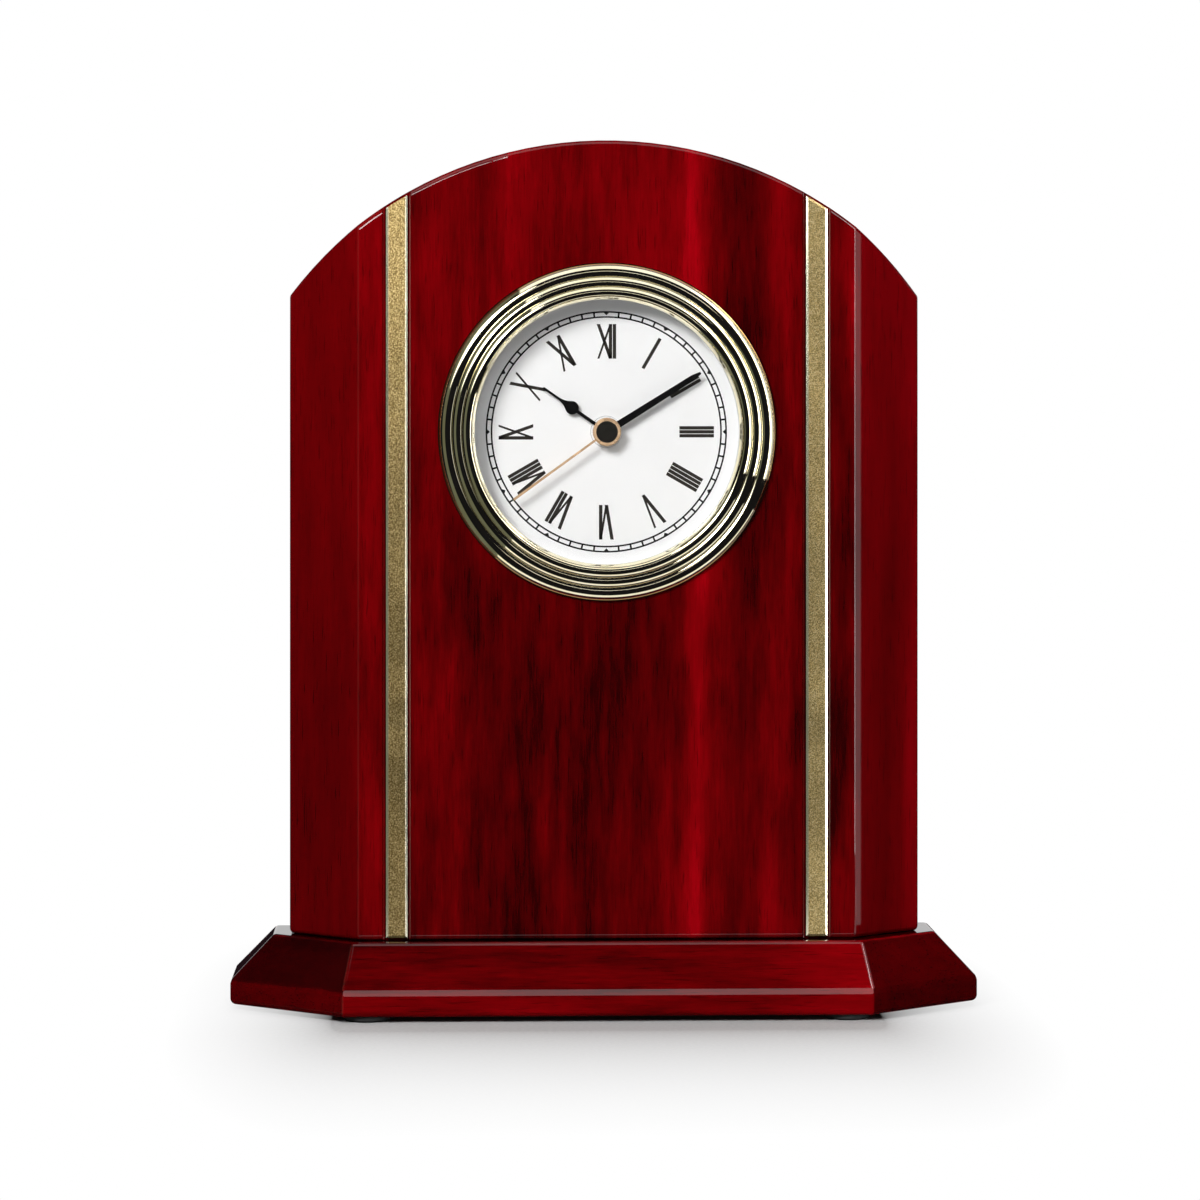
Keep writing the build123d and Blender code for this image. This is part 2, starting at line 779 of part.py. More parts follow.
chip_axis = (board_centre[0] - board_size[0] / 2 + 1.4 * chip_radius, board_centre[1] - chip_radius / 2)
with BuildPart() as driver_chip:
    extrude(disc(chip_radius, board_back + chip_height, chip_axis), amount=chip_height)
    fillet(driver_chip.faces().sort_by(Axis.Y)[-1].edges(), radius=chip_height * 0.7)
save(driver_chip, "driver_chip")

# Dry cell and its two contacts
cell_start = -cell_total / 2
with BuildPart() as battery:
    with BuildSketch(
        Plane(origin=(cell_start, body_front + cell_depth, dial_height - cell_drop), z_dir=(1, 0, 0))
    ):
        Circle(cell_radius)
    extrude(amount=cell_length)
    fillet(battery.edges(), radius=cell_nub_length / 2)
    with BuildSketch(battery.faces().sort_by(Axis.X)[-1]):
        Circle(cell_nub_radius)
    extrude(amount=cell_nub_length)
save(battery, "battery")

for node, side in (("negative_contact", -1), ("positive_contact", 1)):
    with BuildPart() as contact:
        with BuildSketch(Plane.XY.offset(dial_height - cell_drop - contact_width / 2)):
            with BuildLine():
                wall = side * (cell_wall - contact_thickness / 2)
                bump = side * (cell_total / 2 + contact_thickness)
                middle = body_front + cell_depth
                FilletPolyline(
                    (wall, middle - cell_radius),
                    (wall, middle - cell_radius / 2),
                    (bump, middle),
                    (wall, middle + cell_radius / 2),
                    (wall, middle + cell_radius),
                    radius=contact_thickness,
                )
            trace(line_width=contact_thickness)
        extrude(amount=contact_width)
    save(contact, node)

# Rear cover with the cell opening and the hole for the setting shaft
with BuildPart() as rear_cover:
    with BuildSketch(front_plane(cover_back)):
        Circle(insert_radius)
        with Locations((0, -cell_drop)):
            RectangleRounded(hatch_width, hatch_height, hatch_corner, mode=Mode.SUBTRACT)
        with Locations(setting_axis):
            Circle(setting_shaft_radius + running_clearance, mode=Mode.SUBTRACT)
        for angle in cover_post_angles:
            with PolarLocations(cover_post_circle, 1, start_angle=angle):
                Circle(small_screw_radius + press_clearance, mode=Mode.SUBTRACT)
    extrude(amount=cover_thickness)
    chamfer(rear_cover.faces().sort_by(Axis.Y)[-1].outer_wire().edges(), length=cover_thickness / 3)
save(rear_cover, "rear_cover")

cover_posts = [
    (cover_post_circle * cos(radians(angle)), cover_post_circle * sin(radians(angle)))
    for angle in cover_post_angles
]
rear_cover_screws = screw_set(cover_back, cover_posts)
save(rear_cover_screws, "rear_cover_screws")

# Cell hatch: a plug in the opening, a flange on the cover and finger ridges
flange_back = cover_back + hatch_flange_thickness
with BuildPart() as battery_hatch:
    with BuildSketch(front_plane(cover_back, (0, -cell_drop))):
        RectangleRounded(
            hatch_width - 2 * hatch_clearance,
            hatch_height - 2 * hatch_clearance,
            hatch_corner - hatch_clearance,
        )
    extrude(amount=cover_thickness)
    with BuildSketch(front_plane(flange_back, (0, -cell_drop))):
        RectangleRounded(hatch_width + 2 * hatch_flange, hatch_height + 2 * hatch_flange, hatch_corner)
    extrude(amount=hatch_flange_thickness)
    with BuildSketch(front_plane(flange_back + hatch_grip_height, (0, -cell_drop))):
        with GridLocations(2 * hatch_grip_height, 1, 5, 1):
            Rectangle(hatch_grip_height, hatch_height / 2)
    extrude(amount=hatch_grip_height)
save(battery_hatch, "battery_hatch")

# Second hand group: arbor with its wheel and pinion, hand with boss, cap
toward_fifth = 180.0
toward_third = 90.0
toward_minute = 0.0
with BuildPart() as seconds_wheel:
    extrude(disc(seconds_arbor_radius, bridge_back), amount=bridge_back - second_hand_front)
    extrude(
        toothed(
            seconds_leaves,
            seconds_module,
            pinion_tooth,
            third_layer + wheel_thickness,
            hands_axis,
            toward_third,
        ),
        amount=wheel_thickness,
    )
    extrude(
        toothed(
            seconds_teeth,
            fifth_module,
            wheel_tooth,
            seconds_layer + wheel_thickness,
            hands_axis,
            toward_fifth + 180.0 / seconds_teeth,
        ),
        amount=wheel_thickness,
    )
save(seconds_wheel, "seconds_wheel")

boss_front = second_hand_front - boss_height / 2
boss_back = boss_front + boss_height
with BuildPart() as second_hand:
    extrude(disc(boss_radius, boss_back), amount=boss_height)
    chamfer(second_hand.faces().sort_by(Axis.Y)[0].edges(), length=boss_height / 2)
    with BuildSketch(front_plane(boss_back, turn=second_turn)):
        with BuildLine():
            Polyline(
                (-second_hub_width / 2, 0),
                (second_hub_width / 2, 0),
                (second_tip_width / 2, second_hand_length),
                (-second_tip_width / 2, second_hand_length),
                close=True,
            )
        make_face()
    extrude(amount=hand_thickness)
    extrude(
        disc(seconds_arbor_radius + press_clearance, boss_back),
        amount=boss_back - second_hand_front,
        mode=Mode.SUBTRACT,
    )
save(second_hand, "second_hand")

with BuildPart() as second_hand_cap:
    extrude(disc(cap_radius, boss_front), amount=cap_height)
    fillet(second_hand_cap.faces().sort_by(Axis.Y)[0].edges(), radius=cap_height * 0.7)
save(second_hand_cap, "second_hand_cap")

# Going train between the rotor and the centre wheel
toward_rotor = rotor_bearing
with BuildPart() as fifth_wheel:
    extrude(
        disc(fine_pivot_radius, bridge_back, fifth_axis),
        amount=bridge_back - plate_front - running_clearance,
    )
    extrude(
        toothed(
            fifth_leaves,
            fifth_module,
            pinion_tooth,
            seconds_layer + wheel_thickness,
            fifth_axis,
            toward_fifth + 180.0,
        ),
        amount=wheel_thickness,
    )
    extrude(disc(fifth_module * fifth_leaves / 3, fifth_layer, fifth_axis), amount=layer_gap)
    extrude(
        toothed(
            fifth_teeth,
            rotor_module,
            wheel_tooth,
            fifth_layer + wheel_thickness,
            fifth_axis,
            toward_rotor + 180.0 / fifth_teeth,
        ),
        amount=wheel_thickness,
    )
save(fifth_wheel, "fifth_wheel")

magnet_front = (stator_front + stator_back - magnet_length) / 2
with BuildPart() as rotor_pinion:
    extrude(
        disc(fine_pivot_radius, bridge_back, rotor_axis),
        amount=bridge_back - plate_front - running_clearance,
    )
    extrude(
        toothed(
            rotor_leaves,
            rotor_module,
            pinion_tooth,
            fifth_layer + wheel_thickness,
            rotor_axis,
            toward_rotor + 180.0,
        ),
        amount=wheel_thickness,
    )
save(rotor_pinion, "rotor_pinion")

with BuildPart() as rotor_magnet:
    extrude(
        disc(
            magnet_radius, magnet_front + magnet_length, rotor_axis, bore=fine_pivot_radius + press_clearance
        ),
        amount=magnet_length,
    )
save(rotor_magnet, "rotor_magnet")

with BuildPart() as third_wheel:
    extrude(
        disc(third_arbor_radius, bridge_back, third_axis),
        amount=bridge_back - inner_face + housing_wall / 2 - running_clearance,
    )
    extrude(
        toothed(
            third_leaves,
            third_module,
            pinion_tooth,
            centre_layer + wheel_thickness,
            third_axis,
            toward_third + 180.0,
        ),
        amount=wheel_thickness,
    )
    extrude(
        toothed(
            third_teeth,
            seconds_module,
            wheel_tooth,
            third_layer + wheel_thickness,
            third_axis,
            toward_third + 180.0 + 180.0 / third_teeth,
        ),
        amount=wheel_thickness,
    )
save(third_wheel, "third_wheel")

with BuildPart() as centre_wheel:
    extrude(
        toothed(
            centre_teeth,
            third_module,
            wheel_tooth,
            centre_layer + wheel_thickness,
            hands_axis,
            toward_third + 180.0 / centre_teeth,
            bore=cannon_tube_radius + running_clearance,
        ),
        amount=wheel_thickness,
    )
save(centre_wheel, "centre_wheel")

# Motion work: cannon pinion with the minute hand, minute wheel, hour wheel with the hour hand
with BuildPart() as cannon_pinion:
    cannon_back = centre_layer + wheel_thickness
    extrude(disc(cannon_tube_radius, cannon_back), amount=cannon_back - minute_hand_front)
    extrude(
        toothed(
            cannon_leaves,
            cannon_module,
            pinion_tooth,
            minute_layer + wheel_thickness,
            hands_axis,
            toward_minute,
        ),
        amount=wheel_thickness,
    )
    extrude(
        disc(seconds_arbor_radius + running_clearance, cannon_back),
        amount=cannon_back - minute_hand_front,
        mode=Mode.SUBTRACT,
    )
save(cannon_pinion, "cannon_pinion")

with BuildPart() as minute_hand:
    with BuildSketch(front_plane(minute_hand_front + hand_thickness, turn=minute_turn)):
        with BuildLine():
            Polyline(
                (-minute_hub_width / 2, 0),
                (minute_hub_width / 2, 0),
                (minute_shoulder_width / 2, minute_shoulder),
                (minute_tip_width / 2, minute_hand_length),
                (-minute_tip_width / 2, minute_hand_length),
                (-minute_shoulder_width / 2, minute_shoulder),
                close=True,
            )
        make_face()
        Circle(minute_hub_radius)
        Circle(cannon_tube_radius + press_clearance, mode=Mode.SUBTRACT)
    extrude(amount=hand_thickness)
save(minute_hand, "minute_hand")

with BuildPart() as minute_wheel:
    minute_bore = minute_stud_radius + running_clearance
    extrude(
        toothed(
            minute_leaves,
            hour_module,
            pinion_tooth,
            minute_layer,
            minute_axis,
            toward_minute + 180.0,
            bore=minute_bore,
        ),
        amount=minute_layer - hour_layer,
    )
    extrude(
        toothed(
            minute_teeth,
            cannon_module,
            wheel_tooth,
            minute_layer + wheel_thickness,
            minute_axis,
            toward_minute + 180.0 + 180.0 / minute_teeth,
            bore=minute_bore,
        ),
        amount=wheel_thickness,
    )
save(minute_wheel, "minute_wheel")

with BuildPart() as hour_wheel:
    hour_back = hour_layer + wheel_thickness
    extrude(
        toothed(
            hour_teeth,
            hour_module,
            wheel_tooth,
            hour_back,
            hands_axis,
            toward_minute + 180.0 / hour_teeth,
        ),
        amount=wheel_thickness,
    )
    extrude(disc(hour_tube_radius, hour_back), amount=hour_back - hour_hand_front)
    extrude(
        disc(cannon_tube_radius + running_clearance, hour_back),
        amount=hour_back - hour_hand_front,
        mode=Mode.SUBTRACT,
    )
save(hour_wheel, "hour_wheel")

with BuildPart() as hour_hand:
    with BuildSketch(front_plane(hour_hand_front + hand_thickness, turn=hour_turn)):
        Circle(hour_hub_radius)
        with Locations((0, spade_widest / 2)):
            Rectangle(hour_stem_width, spade_widest)
        with BuildLine():
            for side in (-1, 1):
                Spline(
                    (0, spade_start),
                    (side * spade_width / 2, spade_widest),
                    (side * spade_point_width / 2, spade_end),
                    tangents=((side, 0), (0, 1)),
                )
                Line(
                    (side * spade_point_width / 2, spade_end),
                    (side * spade_point_width / 2, hour_hand_length),
                )
            Line((-spade_point_width / 2, hour_hand_length), (spade_point_width / 2, hour_hand_length))
        make_face()
        Circle(hour_tube_radius + press_clearance, mode=Mode.SUBTRACT)
    extrude(amount=hand_thickness)
save(hour_hand, "hour_hand")

# Setting knob on the back, with its shaft and the pinion that turns the minute wheel
knob_front = cover_back + knob_gap
knob_back = knob_front + knob_thickness
with BuildPart() as setting_knob:
    extrude(
        disc(setting_shaft_radius, knob_front, setting_axis),
        amount=knob_front - inner_face + housing_wall / 2 - running_clearance,
    )
    extrude(
        toothed(
            cannon_leaves,
            cannon_module,
            pinion_tooth,
            minute_layer + wheel_thickness,
            setting_axis,
            toward_minute + 180.0,
        ),
        amount=wheel_thickness,
    )
    with BuildSketch(front_plane(knob_back, setting_axis)):
        Circle(knob_radius)
        with PolarLocations(knob_radius, knob_flutes):
            Circle(knob_flute_radius, mode=Mode.SUBTRACT)
    extrude(amount=knob_thickness)
save(setting_knob, "setting_knob")
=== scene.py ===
# %% [markdown]
# An arch-top mantel clock in red rosewood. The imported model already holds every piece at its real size: the
# lacquered slab, the plinth, the gold strips, the bezel and the whole quartz movement. So this lesson leaves
# the shapes alone where they are right, prints the dial, gives each piece the finish that the real one has,
# and builds a small studio around it.

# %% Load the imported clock
import json
from math import pi, radians, tan

import bmesh
import bpy
from mathutils import Matrix, Vector


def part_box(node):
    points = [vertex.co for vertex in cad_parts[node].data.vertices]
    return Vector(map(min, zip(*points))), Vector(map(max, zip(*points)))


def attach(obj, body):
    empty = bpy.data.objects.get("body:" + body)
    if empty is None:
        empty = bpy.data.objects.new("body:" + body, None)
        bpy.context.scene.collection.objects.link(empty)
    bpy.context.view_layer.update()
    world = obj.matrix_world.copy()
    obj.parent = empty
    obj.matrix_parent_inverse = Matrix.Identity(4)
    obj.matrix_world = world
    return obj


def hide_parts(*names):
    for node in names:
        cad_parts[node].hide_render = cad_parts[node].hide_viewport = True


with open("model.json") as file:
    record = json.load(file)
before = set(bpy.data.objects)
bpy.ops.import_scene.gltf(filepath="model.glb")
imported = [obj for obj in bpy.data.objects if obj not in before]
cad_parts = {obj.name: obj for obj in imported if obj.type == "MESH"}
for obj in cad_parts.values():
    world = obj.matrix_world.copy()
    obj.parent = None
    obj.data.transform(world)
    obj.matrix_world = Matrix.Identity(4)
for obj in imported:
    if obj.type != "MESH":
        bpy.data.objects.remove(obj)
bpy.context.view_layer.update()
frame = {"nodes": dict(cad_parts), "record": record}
MM = 0.001
print("pieces in the packed clock:", len(frame["nodes"]))

# %% [markdown]
# The dial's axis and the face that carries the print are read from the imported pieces, so the print follows
# them if a size changes. The axis runs along Y, and the front of the clock looks towards -Y.

# %% Measure the dial
bezel_low, bezel_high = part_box("bezel")
dial_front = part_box("dial")[0].y
dial_centre = Vector(((bezel_low.x + bezel_high.x) / 2, dial_front, (bezel_low.z + bezel_high.z) / 2))
dial_axis = Vector((0, 1, 0))
bezel_radius = (bezel_high.x - bezel_low.x) / 2
print("dial centre:", [round(value / MM, 2) for value in dial_centre])
print("bezel radius:", round(bezel_radius / MM, 2))

# %% [markdown]
# The camera stands almost a metre away, a little to the left of the clock and level with the dial. It looks
# straight ahead, because the sides of the clock are upright in the picture, and a shift of the lens brings
# the whole clock into the frame, as a view camera does. The sight pixel is where the straight line of sight
# meets the picture, and the shift follows from it.

# %% Place the camera
camera_place = Vector((-42.65, -982.6, 153.8)) * MM
camera_turn = radians(-1.89)
sensor_width, lens_length = 36.0, 114.96
frame_pixels = 1200
sight_pixel = (565, 409)
camera_data = bpy.data.cameras.new("camera")
camera_data.sensor_width = sensor_width
camera_data.lens = lens_length
camera_data.shift_x = 0.5 - sight_pixel[0] / frame_pixels
camera_data.shift_y = sight_pixel[1] / frame_pixels - 0.5
camera = bpy.data.objects.new("camera", camera_data)
camera.location = camera_place
camera.rotation_euler = (pi / 2, 0, camera_turn)
bpy.context.collection.objects.link(camera)
bpy.context.scene.camera = camera
bpy.context.scene.view_settings.view_transform = "Standard"
print("camera at", [round(value, 3) for value in camera.location])

# %% [markdown]
# Finishes are built from nodes, and the same few moves come up each time: add a node, fill or link its
# sockets, take its output. These helpers keep each finish down to the lines that matter.

# %% Node helpers
def add(tree, kind, sockets=None, **options):
    """Adds a shader node, sets its options, and fills or links its input sockets."""
    node = tree.nodes.new("ShaderNode" + kind)
    for option, value in options.items():
        setattr(node, option, value)
    for socket, value in (sockets or {}).items():
        if isinstance(value, bpy.types.NodeSocket):
            tree.links.new(value, node.inputs[socket])
        else:
            node.inputs[socket].default_value = value
    return node


def reckon(tree, operation, *values):
    """One step of arithmetic on values or sockets."""
    return add(tree, "Math", dict(enumerate(values)), operation=operation).outputs[0]


def reckon_vector(tree, operation, *vectors):
    """One step of arithmetic on vectors. Returns the outputs: the first is a vector, Value is a number."""
    return add(tree, "VectorMath", dict(enumerate(vectors)), operation=operation).outputs


def coordinate(tree, vector, axis):
    return add(tree, "SeparateXYZ", {"Vector": vector}).outputs[axis]


def noise(tree, vector, scale=1.0, detail=3.0, roughness=0.5):
    sockets = {"Vector": vector, "Scale": scale, "Detail": detail, "Roughness": roughness}
    return add(tree, "TexNoise", sockets).outputs["Fac"]


def stretch(tree, vector, scale=(1, 1, 1), turn=(0, 0, 0), move=(0, 0, 0)):
    sockets = {"Vector": vector, "Scale": scale, "Rotation": turn, "Location": move}
    return add(tree, "Mapping", sockets).outputs[0]


def between(tree, value, low, high, to_low=0.0, to_high=1.0, smooth=True):
    """Maps a value from one range to another, clamped at both ends."""
    style = "SMOOTHSTEP" if smooth else "LINEAR"
    sockets = {"Value": value, "From Min": low, "From Max": high, "To Min": to_low, "To Max": to_high}
    return add(tree, "MapRange", sockets, interpolation_type=style).outputs["Result"]


def blend(tree, factor, first, second):
    """Mixes two colours, given as sockets or as colours."""
    mixer = add(tree, "Mix", {0: factor}, data_type="RGBA")
    for socket, colour in ((mixer.inputs[6], first), (mixer.inputs[7], second)):
        if isinstance(colour, bpy.types.NodeSocket):
            tree.links.new(colour, socket)
        else:
            socket.default_value = (*colour, 1)
    return mixer.outputs[2]


def ramp(tree, factor, stops, style="EASE"):
    """A colour ramp, from a list of places and colours."""
    node = add(tree, "ValToRGB", {"Fac": factor})
    node.color_ramp.interpolation = style
    while len(node.color_ramp.elements) < len(stops):
        node.color_ramp.elements.new(1.0)
    for element, (place, colour) in zip(node.color_ramp.elements, stops):
        element.position = place
        element.color = (*colour, 1)
    return node.outputs["Color"]


def bump(tree, height, distance, strength=1.0):
    sockets = {"Height": height, "Distance": distance, "Strength": strength}
    return add(tree, "Bump", sockets).outputs["Normal"]


print("node helpers ready")

# %% [markdown]
# A finish is a material whose Principled shader holds the plain values, with sources linked to the sockets
# that change over the surface. An effect that several finishes share is a node group with named sockets,
# placed in each material with that material's own values.

# %% Finishes and groups
def new_finish(name, **constants):
    """A material with its shader's plain values set. Returns material, tree, shader and object position."""
    material = bpy.data.materials.new(name)
    material.use_nodes = True
    tree = material.node_tree
    shader = tree.nodes["Principled BSDF"]
    for socket, value in constants.items():
        shader.inputs[socket.replace("_", " ")].default_value = value
    place = add(tree, "TexCoord").outputs["Object"]
    return material, tree, shader, place


def feed(tree, shader, **sources):
    """Links sources to the shader's sockets, with _ for each space in a socket's name."""
    for socket, source in sources.items():
        tree.links.new(source, shader.inputs[socket.replace("_", " ")])


def new_group(name, inputs, outputs):
    """A node group with named sockets. Returns its tree, what it is given and what it makes."""
    group = bpy.data.node_groups.new(name, "ShaderNodeTree")
    for label, kind in inputs.items():
        group.interface.new_socket(label, in_out="INPUT", socket_type="NodeSocket" + kind)
    for label, kind in outputs.items():
        group.interface.new_socket(label, in_out="OUTPUT", socket_type="NodeSocket" + kind)
    given = group.nodes.new("NodeGroupInput").outputs
    made = group.nodes.new("NodeGroupOutput").inputs
    return group, given, made


def fill_group(tree, group, sockets):
    """Places a node group in a material, with its own values or links. Returns the group's outputs."""
    return add(tree, "Group", sockets, node_tree=group).outputs


print("finish helpers ready")

# %% [markdown]
# Three effects come back in many finishes, so each is a node group. Handling haze makes a gloss uneven, as
# faint smears and dust do. Moulded grain is the fine spark-eroded texture and slight mottling of plastic and
# rubber. Turned lines are the fine rings that a lathe or a press leaves round an axis.

# %% Shared effects
def make_handling_haze():
    smear_starts, smear_full = 0.42, 0.72
    sockets = {"Place": "Vector", "Clean": "Float", "Hazy": "Float", "Patches": "Float"}
    group, given, made = new_group("handling_haze", sockets, {"Roughness": "Float"})
    smears = noise(group, given["Place"], given["Patches"], detail=6.0, roughness=0.62)
    amount = between(group, smears, smear_starts, smear_full)
    spread = reckon(group, "SUBTRACT", given["Hazy"], given["Clean"])
    roughness = reckon(group, "MULTIPLY_ADD", amount, spread, given["Clean"])
    group.links.new(roughness, made["Roughness"])
    return group


def make_moulded_grain():
    sockets = {"Place": "Vector", "Colour": "Color", "Grains": "Float", "Mottle": "Float"}
    group, given, made = new_group("moulded_grain", sockets, {"Colour": "Color", "Height": "Float"})
    grain = noise(group, given["Place"], given["Grains"], detail=2.0, roughness=0.7)
    clouds = noise(group, given["Place"], scale=110.0, detail=4.0)
    tone = reckon(group, "MULTIPLY", reckon(group, "SUBTRACT", clouds, 0.5), given["Mottle"])
    sockets = {"Value": reckon(group, "ADD", tone, 1.0), "Color": given["Colour"]}
    group.links.new(add(group, "HueSaturation", sockets).outputs["Color"], made["Colour"])
    group.links.new(grain, made["Height"])
    return group


def make_turned_lines():
    sockets = {"Place": "Vector", "Lines": "Float"}
    group, given, made = new_group("turned_lines", sockets, {"Radius": "Float", "Height": "Float"})
    flat = reckon_vector(group, "MULTIPLY", given["Place"], (1, 0, 1))[0]
    radius = reckon_vector(group, "LENGTH", flat)["Value"]
    lines = reckon(group, "MULTIPLY", radius, given["Lines"])
    rings = add(group, "CombineXYZ", {"X": lines}).outputs[0]
    group.links.new(radius, made["Radius"])
    group.links.new(noise(group, rings, detail=4.0, roughness=0.7), made["Height"])
    return group


handling_haze = make_handling_haze()
moulded_grain = make_moulded_grain()
turned_lines = make_turned_lines()


def hazed(tree, place, clean, hazy, patches):
    """A roughness that wanders between a clean and a hazy value."""
    sockets = {"Place": place, "Clean": clean, "Hazy": hazy, "Patches": patches}
    return fill_group(tree, handling_haze, sockets)["Roughness"]


print("shared effects:", [group.name for group in bpy.data.node_groups])

# %% [markdown]
# The wood is red-stained rosewood under a thick clear lacquer. Its figure is made of three sizes of streak,
# all drawn out along the grain: clouds of colour, dark and bright ribbons, and fine fibres with dark pores.
# The group takes a place whose Z runs along the grain, a tone that lays the broad ribbons where a board has
# them, and a strength that calms the streaks where a board is cut across.

# %% Rosewood figure
def make_rosewood_figure():
    sockets = {"Board": "Vector", "Ribbons": "Float", "Strength": "Float"}
    group, given, made = new_group("rosewood_figure", sockets, {"Colour": "Color", "Pores": "Float"})
    board = given["Board"]
    clouds = noise(group, stretch(group, board, scale=(60, 60, 17)), detail=4.0, roughness=0.6)
    ribbons = noise(group, stretch(group, board, scale=(300, 300, 30)), detail=5.0, roughness=0.62)
    fibres = noise(group, stretch(group, board, scale=(1700, 1700, 110)), detail=3.0, roughness=0.7)
    pores = noise(group, stretch(group, board, scale=(2600, 2600, 130)), detail=1.0)
    tone = given["Ribbons"]
    for streaks, weight in ((clouds, 0.78), (ribbons, 0.62), (fibres, 0.28)):
        strength = reckon(group, "MULTIPLY", given["Strength"], weight)
        tone = reckon(group, "MULTIPLY_ADD", reckon(group, "SUBTRACT", streaks, 0.5), strength, tone)
    shades = (
        (0.00, (0.004, 0.0001, 0.0002)),
        (0.22, (0.030, 0.0001, 0.0004)),
        (0.50, (0.120, 0.0002, 0.0010)),
        (0.75, (0.225, 0.0003, 0.0022)),
        (1.00, (0.400, 0.0005, 0.0050)),
    )
    pore_starts, pore_full, pore_dark = 0.60, 0.74, 0.45
    open_pores = between(group, pores, pore_starts, pore_full)
    dark = reckon(group, "SUBTRACT", 1.0, reckon(group, "MULTIPLY", open_pores, pore_dark))
    wood = ramp(group, tone, shades, "LINEAR")
    stained = add(group, "HueSaturation", {"Value": dark, "Color": wood}).outputs["Color"]
    group.links.new(stained, made["Colour"])
    group.links.new(open_pores, made["Pores"])
    return group


rosewood_figure = make_rosewood_figure()
print("rosewood figure ready")

# %% [markdown]
# The slab is one upright board, so its grain runs up the clock. One picture of the ribbons would look drawn
# with a ruler, so two ramps lay them across the board, one for its foot and one for its head, and the wood
# blends from the first to the second. The plinth's grain runs along its length instead, which a quarter turn
# of the board about Y gives, and its ramps lie up its height, one for its right end and one for its left.
# Faces that look sideways are cut across the board and show less figure. Their tone is also shifted by a
# painted shade of their own, darker or lighter on each side for how light falls on them, and the plinth's flat
# top is darkened by a painted shade too. The lacquer is the shader's own clear coat.

# %% Lacquered rosewood
board_face, cut_face = 0.30, 0.50
nearly_level, level = 0.95, 0.99
cut_strength = 0.35
sway_share = 5


def ribbon_ramp(tree, factor, half_width, ribbons):
    """The tones of one end of a board, from places across it in millimetres."""
    stops = [((place * MM / half_width + 1) / 2, (tone, tone, tone)) for place, tone in ribbons]
    return ramp(tree, factor, stops)


def lacquered_rosewood(name, board_turn, end_ribbons, ends, half_width, painted_shades):
    material, tree, shader, place = new_finish(
        name, Specular_IOR_Level=0.0, IOR=1.5, Coat_Weight=1.0, Coat_Roughness=0.012, Coat_IOR=1.5
    )
    left_shade, right_shade, top_shade = painted_shades
    board = stretch(tree, place, turn=(0, board_turn, 0))
    sway = reckon(tree, "SUBTRACT", noise(tree, stretch(tree, board, scale=(26, 26, 11))), 0.5)
    swayed = reckon(tree, "MULTIPLY_ADD", sway, half_width / sway_share, coordinate(tree, board, "X"))
    across = between(tree, swayed, -half_width, half_width, smooth=False)
    first_end, second_end = (ribbon_ramp(tree, across, half_width, ribbons) for ribbons in end_ribbons)
    along = between(tree, coordinate(tree, board, "Z"), *ends)
    ribbons = blend(tree, along, first_end, second_end)
    facing = add(tree, "TexCoord").outputs["Normal"]
    aside, upward = coordinate(tree, facing, "X"), coordinate(tree, facing, "Z")
    # Painted shade: sideways faces are darkened or lightened by a tone shift of their own for each side, and
    # the plinth's flat top is darkened.
    cut_left = between(tree, aside, -cut_face, -board_face, left_shade, 0.0)
    cut_right = between(tree, aside, board_face, cut_face, 0.0, right_shade)
    flat_top = between(tree, upward, nearly_level, level, 0.0, top_shade)
    painted_shade = reckon(tree, "ADD", flat_top, reckon(tree, "ADD", cut_left, cut_right))
    tone = reckon(tree, "SUBTRACT", ribbons, painted_shade)
    strength = between(tree, reckon(tree, "ABSOLUTE", aside), board_face, cut_face, 1.0, cut_strength)
    figure = fill_group(tree, rosewood_figure, {"Board": board, "Ribbons": tone, "Strength": strength})
    feed(
        tree, shader, Base_Color=figure["Colour"],
        Roughness=hazed(tree, place, clean=0.42, hazy=0.55, patches=60.0),
        Normal=bump(tree, figure["Pores"], -0.02 * MM),
    )
    return material


print("a face is cut across the board where its normal's X passes", cut_face)

# %% [markdown]
# The ribbons follow the boards of this clock in broad tone: a clear red streak right of the dial, dark ones
# beside it, a calmer left half, and a plinth that is redder on the right. A place is in millimetres, across
# the slab from its middle or up the plinth, and a tone runs from 0, nearly black, to 1, bright red.

# %% Two boards
foot_ribbons = (
    (-81, 0.48), (-66, 0.46), (-59, 0.56), (-52, 0.38), (-44, 0.48), (-34, 0.34), (-12, 0.35), (10, 0.38),
    (18, 0.46), (23, 0.78), (28, 0.46), (33, 0.36), (38, 0.40), (43, 0.56), (50, 0.41), (59, 0.33),
    (65, 0.66), (72, 0.51), (76, 0.60), (80, 0.80),
)
head_ribbons = (
    (-81, 0.58), (-66, 0.58), (-59, 0.68), (-52, 0.50), (-44, 0.62), (-34, 0.48), (-22, 0.60), (-12, 0.51),
    (10, 0.56), (18, 0.66), (23, 0.92), (28, 0.57), (32, 0.38), (37, 0.33), (41, 0.42), (45, 0.60),
    (50, 0.50), (59, 0.44), (65, 0.78), (80, 0.80),
)
right_ribbons = ((0, 0.70), (7, 0.70), (8.5, 0.74), (15, 0.78), (18, 0.75))
left_ribbons = ((0, 0.52), (7, 0.54), (8.5, 0.36), (15, 0.38), (18, 0.34))
body_ends, plinth_ends = (95 * MM, 190 * MM), (-75 * MM, 20 * MM)
# The painted shades for left faces, right faces and flat tops: the slab's left sides darker and its right sides
# lighter, the plinth's sides and flat top darker.
body_painted_shades, plinth_painted_shades = (0.07, -0.05, 0.0), (0.21, 0.35, 0.60)
body_half_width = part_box("case_body")[1].x
plinth_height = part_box("base_plinth")[1].z
body_wood = lacquered_rosewood(
    "rosewood_upright", 0.0, (foot_ribbons, head_ribbons), body_ends, body_half_width, body_painted_shades
)
plinth_wood = lacquered_rosewood(
    "rosewood_lengthwise", pi / 2, (right_ribbons, left_ribbons), plinth_ends, plinth_height, plinth_painted_shades
)
print("wood finishes:", body_wood.name, plinth_wood.name)
